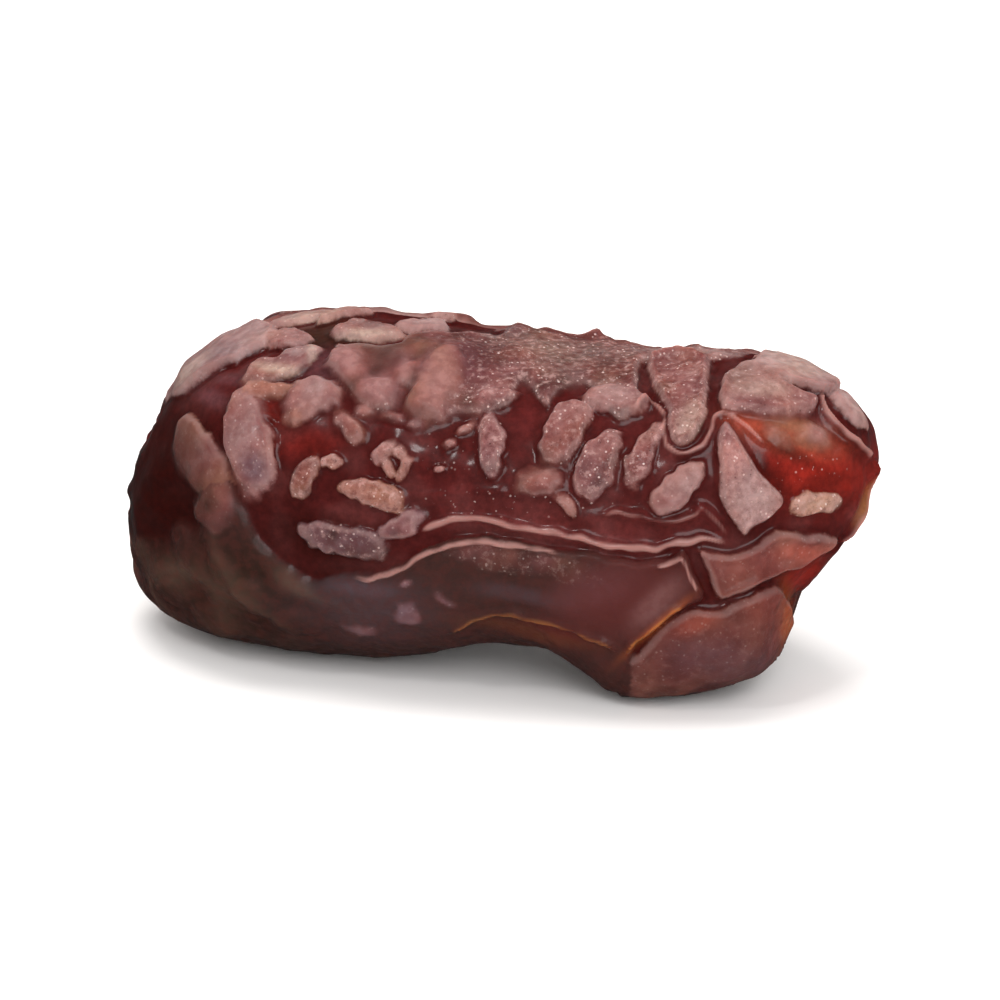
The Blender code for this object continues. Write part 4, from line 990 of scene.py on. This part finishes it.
# The mesh: one closed skin over the grid, with a single point at each end. It keeps what the material reads:
# how far inside an edge each place lies, how open, soft, sugary and crested it is, and its three colours.
EDGE_REACH = 2
PALE_RIM_AND_HIGHLIGHT = 0.25
RIM_FROM = 0.25


def grid_faces(rows, columns):
    """Faces over a grid whose first and last rows are one point each and whose columns close into a ring."""
    ring = np.arange(columns)
    following = np.roll(ring, -1)
    start = 1 + np.arange(rows - 2)[:, None] * columns
    beyond = start + columns
    quads = np.stack([start + ring, beyond + ring, beyond + following, start + following], -1)
    last = (rows - 1) * columns + 1
    stem = [(0, a, b) for a, b in zip(1 + ring, 1 + following)]
    tip = [(last, b, a) for a, b in zip(last - columns + ring, last - columns + following)]
    return quads.reshape(-1, 4).tolist() + stem + tip


def one_end_each(field):
    """The grid's values as a list with one value for each end point."""
    flat = field.reshape(field.shape[0], field.shape[1], -1)
    return np.vstack([flat[0, :1], flat[1:-1].reshape(-1, flat.shape[-1]), flat[-1, :1]])


def store_number(mesh, name, field):
    """Keeps one number for each point of the mesh under a name."""
    mesh.attributes.new(name, "FLOAT", "POINT").data.foreach_set("value", one_end_each(field).ravel())


def store_colour(mesh, name, field):
    """Keeps one colour for each point of the mesh under a name."""
    colours = one_end_each(field)
    colours = np.hstack([colours, np.ones((len(colours), 1))])
    mesh.attributes.new(name, "FLOAT_COLOR", "POINT").data.foreach_set("color", colours.ravel())


date_mesh = bpy.data.meshes.new("date skin")
date_mesh.from_pydata((one_end_each(skin) * MM).tolist(), [], grid_faces(ROWS, COLUMNS))
date_mesh.shade_smooth()
store_number(date_mesh, "edge", np.clip(edge, -EDGE_REACH, EDGE_REACH))
store_number(date_mesh, "opening", open_colour)
store_number(date_mesh, "crest", crest_pale_and_highlight)
store_number(date_mesh, "softness", softness)
store_number(date_mesh, "rim", PALE_RIM_AND_HIGHLIGHT * smooth(0, RIM_FROM, pad_pale))
store_number(date_mesh, "sugar", sugar_here)
store_colour(date_mesh, "flesh colour", flesh_colours)
store_colour(date_mesh, "skin colour", skin_colours)
store_colour(date_mesh, "crest colour", crest_colours)
date_skin = bpy.data.objects.new("date_skin", date_mesh)
bpy.context.scene.collection.objects.link(date_skin)

# The skin's finish: glossy sticky flesh, dry satin pads with sugar grains, and dull brown whole skin. Pad edges
# are cut sharp at the stored edge, jittered by a fine noise, with a paler rim just inside, partly painted
# highlight.

# Noises have their waves a millimetre, detail and roughness, and grains their number a millimetre. The rest are
# the limits between which something changes, and how much of it shows.
FINE_NOISE = (1.6, 4, 0.6)
POWDER_NOISE = (2.4, 3, 0.65)
UNEVEN_NOISE = (1.1, 2)
SUGAR_GRAINS = 2.7
SPECK_GRAINS = 3.4
GRAIN_SIZES = {"sparkle": (0.25, 0.14), "speck": (0.2, 0.13)}
GRAIN_PLACES = {"sparkle": (0.47, 0.54), "speck": (0.47, 0.4)}
JITTER = 0.2
MARK = 0.06
MARK_SOFTER = 0.5
RIM_BAND = ((0.0, 0.12), (0.45, 0.15))
SKIN_SHADE = ((0.62, 0.38, 0.0, 0.3), hue(89, 41, 36))
SUGAR_HEAPS = ((0.5, 0.7), 0.45, hue(214, 173, 166))
SUGAR_GAPS = ((0.47, 0.33), 0.55, hue(89, 36, 36))
SPECKS = (0.8, hue(48, 24, 26))
SPARKLES = (0.75, hue(244, 214, 206))
FLESH_MOTTLE = (0.3, 0.72, 0.8, 1.2)
CREST_SHARE = (0.3, 0.8, 0.0, 0.65)
FLESH_ROUGHNESS = 0.33
SKIN_ROUGHNESS = (0.3, 0.7, 0.4, 0.54)
COAT_WEIGHT = (0.3, 0.1)
CONSTANTS = {"Coat Roughness": 0.14, "IOR": 1.42, "Specular IOR Level": 0.15, "Subsurface Weight": 0.3,
             "Subsurface Radius": (1.0, 0.35, 0.25), "Subsurface Scale": MM, "Sheen Weight": 0.02,
             "Sheen Roughness": 0.45}
SKIN_RELIEF = 0.05
SUGAR_RELIEF = 0.04
UNEVEN_RELIEF = 0.03


def socket(tree, target, value):
    """Sets an input to a number or a colour, or links an output to it."""
    if isinstance(value, bpy.types.NodeSocket):
        tree.links.new(value, target)
    elif hasattr(value, "__len__") and target.type == "RGBA":
        target.default_value = (*value, 1)
    else:
        target.default_value = value


def calc(tree, operation, *values):
    """A Math node over values, which are outputs or numbers."""
    node = tree.nodes.new("ShaderNodeMath")
    node.operation = operation
    for target, value in zip(node.inputs, values):
        socket(tree, target, value)
    return node.outputs[0]


def between(tree, value, start, end, low=0.0, high=1.0):
    """A Map Range node that runs smoothly from low at start to high at end."""
    node = tree.nodes.new("ShaderNodeMapRange")
    node.interpolation_type = "SMOOTHSTEP"
    for name, setting in (("Value", value), ("From Min", start), ("From Max", end), ("To Min", low),
                          ("To Max", high)):
        socket(tree, node.inputs[name], setting)
    return node.outputs[0]


def towards(tree, share, first, second, way="MIX"):
    """A Mix node from the first colour towards the second, or towards their product, by the share."""
    node = tree.nodes.new("ShaderNodeMix")
    node.data_type = "RGBA"
    node.blend_type = way
    for target, value in zip((node.inputs[0], node.inputs[6], node.inputs[7]), (share, first, second)):
        socket(tree, target, value)
    return node.outputs[2]


def stored(tree, name, output="Fac"):
    """What the mesh keeps under a name: its number, or its colour."""
    node = tree.nodes.new("ShaderNodeAttribute")
    node.attribute_name = name
    return node.outputs[output]


def noise(tree, place, scale, detail=2.0, roughness=0.5):
    """A Noise node's value, with scale in waves a millimetre."""
    node = tree.nodes.new("ShaderNodeTexNoise")
    for name, value in (("Vector", place), ("Scale", scale), ("Detail", detail), ("Roughness", roughness)):
        socket(tree, node.inputs[name], value)
    return node.outputs["Fac"]


def grains(tree, place, scale):
    """The distance to the nearest grain of a Voronoi node, with scale in grains a millimetre."""
    node = tree.nodes.new("ShaderNodeTexVoronoi")
    socket(tree, node.inputs["Vector"], place)
    socket(tree, node.inputs["Scale"], scale)
    return node.outputs["Distance"]


def times(tree, *values):
    """The product of the values."""
    product = values[0]
    for value in values[1:]:
        product = calc(tree, "MULTIPLY", product, value)
    return product


finish = bpy.data.materials.new("dried date skin")
finish.use_nodes = True
tree = finish.node_tree
shader = tree.nodes["Principled BSDF"]
coordinates = tree.nodes.new("ShaderNodeTexCoord")
in_mm = tree.nodes.new("ShaderNodeMapping")
in_mm.inputs["Scale"].default_value = (1 / MM, 1 / MM, 1 / MM)
tree.links.new(coordinates.outputs["Object"], in_mm.inputs["Vector"])
place = in_mm.outputs["Vector"]

fine = noise(tree, place, *FINE_NOISE)
powder = noise(tree, place, *POWDER_NOISE)
sugar = stored(tree, "sugar")
sparkle, speck = (
    times(tree, between(tree, grains(tree, place, scale), *GRAIN_SIZES[kind]),
          between(tree, fine, *GRAIN_PLACES[kind]))
    for kind, scale in (("sparkle", SUGAR_GRAINS), ("speck", SPECK_GRAINS)))

jitter = calc(tree, "SUBTRACT", times(tree, fine, JITTER), JITTER / 2)
inside = calc(tree, "ADD", stored(tree, "edge"), jitter)
soft_here = stored(tree, "softness")
mark = calc(tree, "ADD", times(tree, soft_here, MARK_SOFTER), MARK)
is_skin = between(tree, inside, times(tree, mark, -1), mark)
sharp_here = times(tree, stored(tree, "opening"), calc(tree, "SUBTRACT", 1, soft_here))
rim = times(tree, between(tree, inside, *RIM_BAND[0]), between(tree, inside, *RIM_BAND[1]), sharp_here)
on_sugar = times(tree, sugar, is_skin)

skin_colour = stored(tree, "skin colour", "Color")
skin_colour = towards(tree, between(tree, fine, *SKIN_SHADE[0]), skin_colour, SKIN_SHADE[1])
# The pale rim just inside each pad's edge is partly its own pale curled edge and partly a painted highlight.
skin_colour = towards(tree, times(tree, rim, stored(tree, "rim")), skin_colour, PAD_PALE)
skin_colour = towards(tree, times(tree, speck, sugar, SPECKS[0]), skin_colour, SPECKS[1])
for limits, most, tone in (SUGAR_HEAPS, SUGAR_GAPS):
    share = times(tree, on_sugar, between(tree, powder, *limits), most)
    skin_colour = towards(tree, share, skin_colour, tone)
flesh_colour = stored(tree, "flesh colour", "Color")
flesh_colour = towards(tree, 1.0, flesh_colour, between(tree, powder, *FLESH_MOTTLE), "MULTIPLY")
colour = towards(tree, is_skin, flesh_colour, skin_colour)
# The sparkles are sugar grains painted near white, partly as painted glints of light on them.
colour = towards(tree, times(tree, sugar, sparkle, SPARKLES[0]), colour, SPARKLES[1])
# Crests are drawn towards their pale colour: partly dry skin, partly a painted highlight along the ridge.
crest_share = between(tree, stored(tree, "crest"), *CREST_SHARE)
colour = towards(tree, crest_share, colour, stored(tree, "crest colour", "Color"))
socket(tree, shader.inputs["Base Color"], colour)

rougher = calc(tree, "SUBTRACT", between(tree, fine, *SKIN_ROUGHNESS), FLESH_ROUGHNESS)
roughness = calc(tree, "ADD", times(tree, is_skin, rougher), FLESH_ROUGHNESS)
socket(tree, shader.inputs["Roughness"], roughness)
socket(tree, shader.inputs["Coat Weight"], between(tree, is_skin, 0, 1, *COAT_WEIGHT))
for name, value in CONSTANTS.items():
    shader.inputs[name].default_value = value

relief = times(tree, fine, is_skin, SKIN_RELIEF)
for finer in (powder, sparkle):
    relief = calc(tree, "ADD", relief, times(tree, on_sugar, finer, SUGAR_RELIEF))
relief = calc(tree, "ADD", relief, times(tree, noise(tree, place, *UNEVEN_NOISE), UNEVEN_RELIEF))
bump = tree.nodes.new("ShaderNodeBump")
bump.inputs["Distance"].default_value = MM
bump.inputs["Strength"].default_value = 1.0
socket(tree, bump.inputs["Height"], relief)
socket(tree, shader.inputs["Normal"], bump.outputs["Normal"])

date_mesh.materials.append(finish)
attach(date_skin, "root")
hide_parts("date")

# The setting: a plain pale table that runs out of sight, wide soft lights above, in front and behind, a small
# one that glints in the wet flesh, and a pale room. Only the front and the small light show in what is glossy.
# The camera stands 15 degrees round and 20 degrees up, far off, with a long lens.
TABLE_SIDE = 8.0
TABLE_PALE = hue(250, 247, 245) / EXPOSURE
TABLE_ROUGHNESS = 0.7
ROOM_COLOUR = (1, 0.99, 0.985, 1)
ROOM_STRENGTH = 0.85
ROOM_IN_GLOSS = 0.02
EYE_DISTANCE = 0.6
VIEW_WIDTH = 0.060
SENSOR = 36.0
AIM = (0.0, 0.0, 0.0096)

# Each light's name, place, side, power and colour, and whether it shows in what is glossy.
LIGHT_AIM = mathutils.Vector((0, 0, 0.01))
LIGHTS = (
    ("overhead light", (-0.05, 0.06, 0.5), 0.3, 1.75, (1, 0.99, 0.98), False),
    ("front light", (0.3, -0.48, 0.38), 0.45, 2.7, (0.96, 0.98, 1), True),
    ("rear light", (-0.2, 0.5, 0.2), 0.3, 0.35, (1, 0.98, 0.96), False),
    ("small light", (-0.12, -0.32, 0.45), 0.06, 0.3, (1, 1, 1), True),
)


def soft_light(name, place, side, power, colour, glossy):
    """A square area light that faces the fruit's middle."""
    lamp = bpy.data.lights.new(name, "AREA")
    lamp.shape = "SQUARE"
    lamp.size = side
    lamp.energy = power
    lamp.color = colour
    holder = bpy.data.objects.new(name, lamp)
    holder.location = place
    holder.visible_glossy = glossy
    holder.rotation_euler = (LIGHT_AIM - mathutils.Vector(place)).to_track_quat("-Z", "Y").to_euler()
    bpy.context.scene.collection.objects.link(holder)


table_mesh = bpy.data.meshes.new("table")
half = TABLE_SIDE / 2
corners = [(-half, -half, 0), (half, -half, 0), (half, half, 0), (-half, half, 0)]
table_mesh.from_pydata(corners, [], [(0, 1, 2, 3)])
table = bpy.data.objects.new("table", table_mesh)
bpy.context.scene.collection.objects.link(table)
table_paint = bpy.data.materials.new("pale table")
table_paint.use_nodes = True
table_shader = table_paint.node_tree.nodes["Principled BSDF"]
table_shader.inputs["Base Color"].default_value = (*TABLE_PALE, 1)
table_shader.inputs["Roughness"].default_value = TABLE_ROUGHNESS
table_mesh.materials.append(table_paint)
table.visible_glossy = False

for light in LIGHTS:
    soft_light(*light)

world = bpy.data.worlds.new("pale room")
world.use_nodes = True
room = world.node_tree
rays = room.nodes.new("ShaderNodeLightPath").outputs
background = room.nodes["Background"]
background.inputs["Color"].default_value = ROOM_COLOUR
strength = between(room, rays["Is Glossy Ray"], 0, 1, ROOM_STRENGTH, ROOM_IN_GLOSS)
socket(room, background.inputs["Strength"], strength)
bpy.context.scene.world = world
bpy.context.scene.view_settings.view_transform = "Standard"

camera_data = bpy.data.cameras.new("camera")
camera_data.sensor_width = SENSOR
camera_data.lens = SENSOR * EYE_DISTANCE / VIEW_WIDTH
camera = bpy.data.objects.new("camera", camera_data)
eye = mathutils.Vector(seen_axes()[2]) * EYE_DISTANCE
camera.location = eye + mathutils.Vector(AIM)
camera.rotation_euler = (-eye).to_track_quat("-Z", "Y").to_euler()
bpy.context.scene.collection.objects.link(camera)
bpy.context.scene.camera = camera
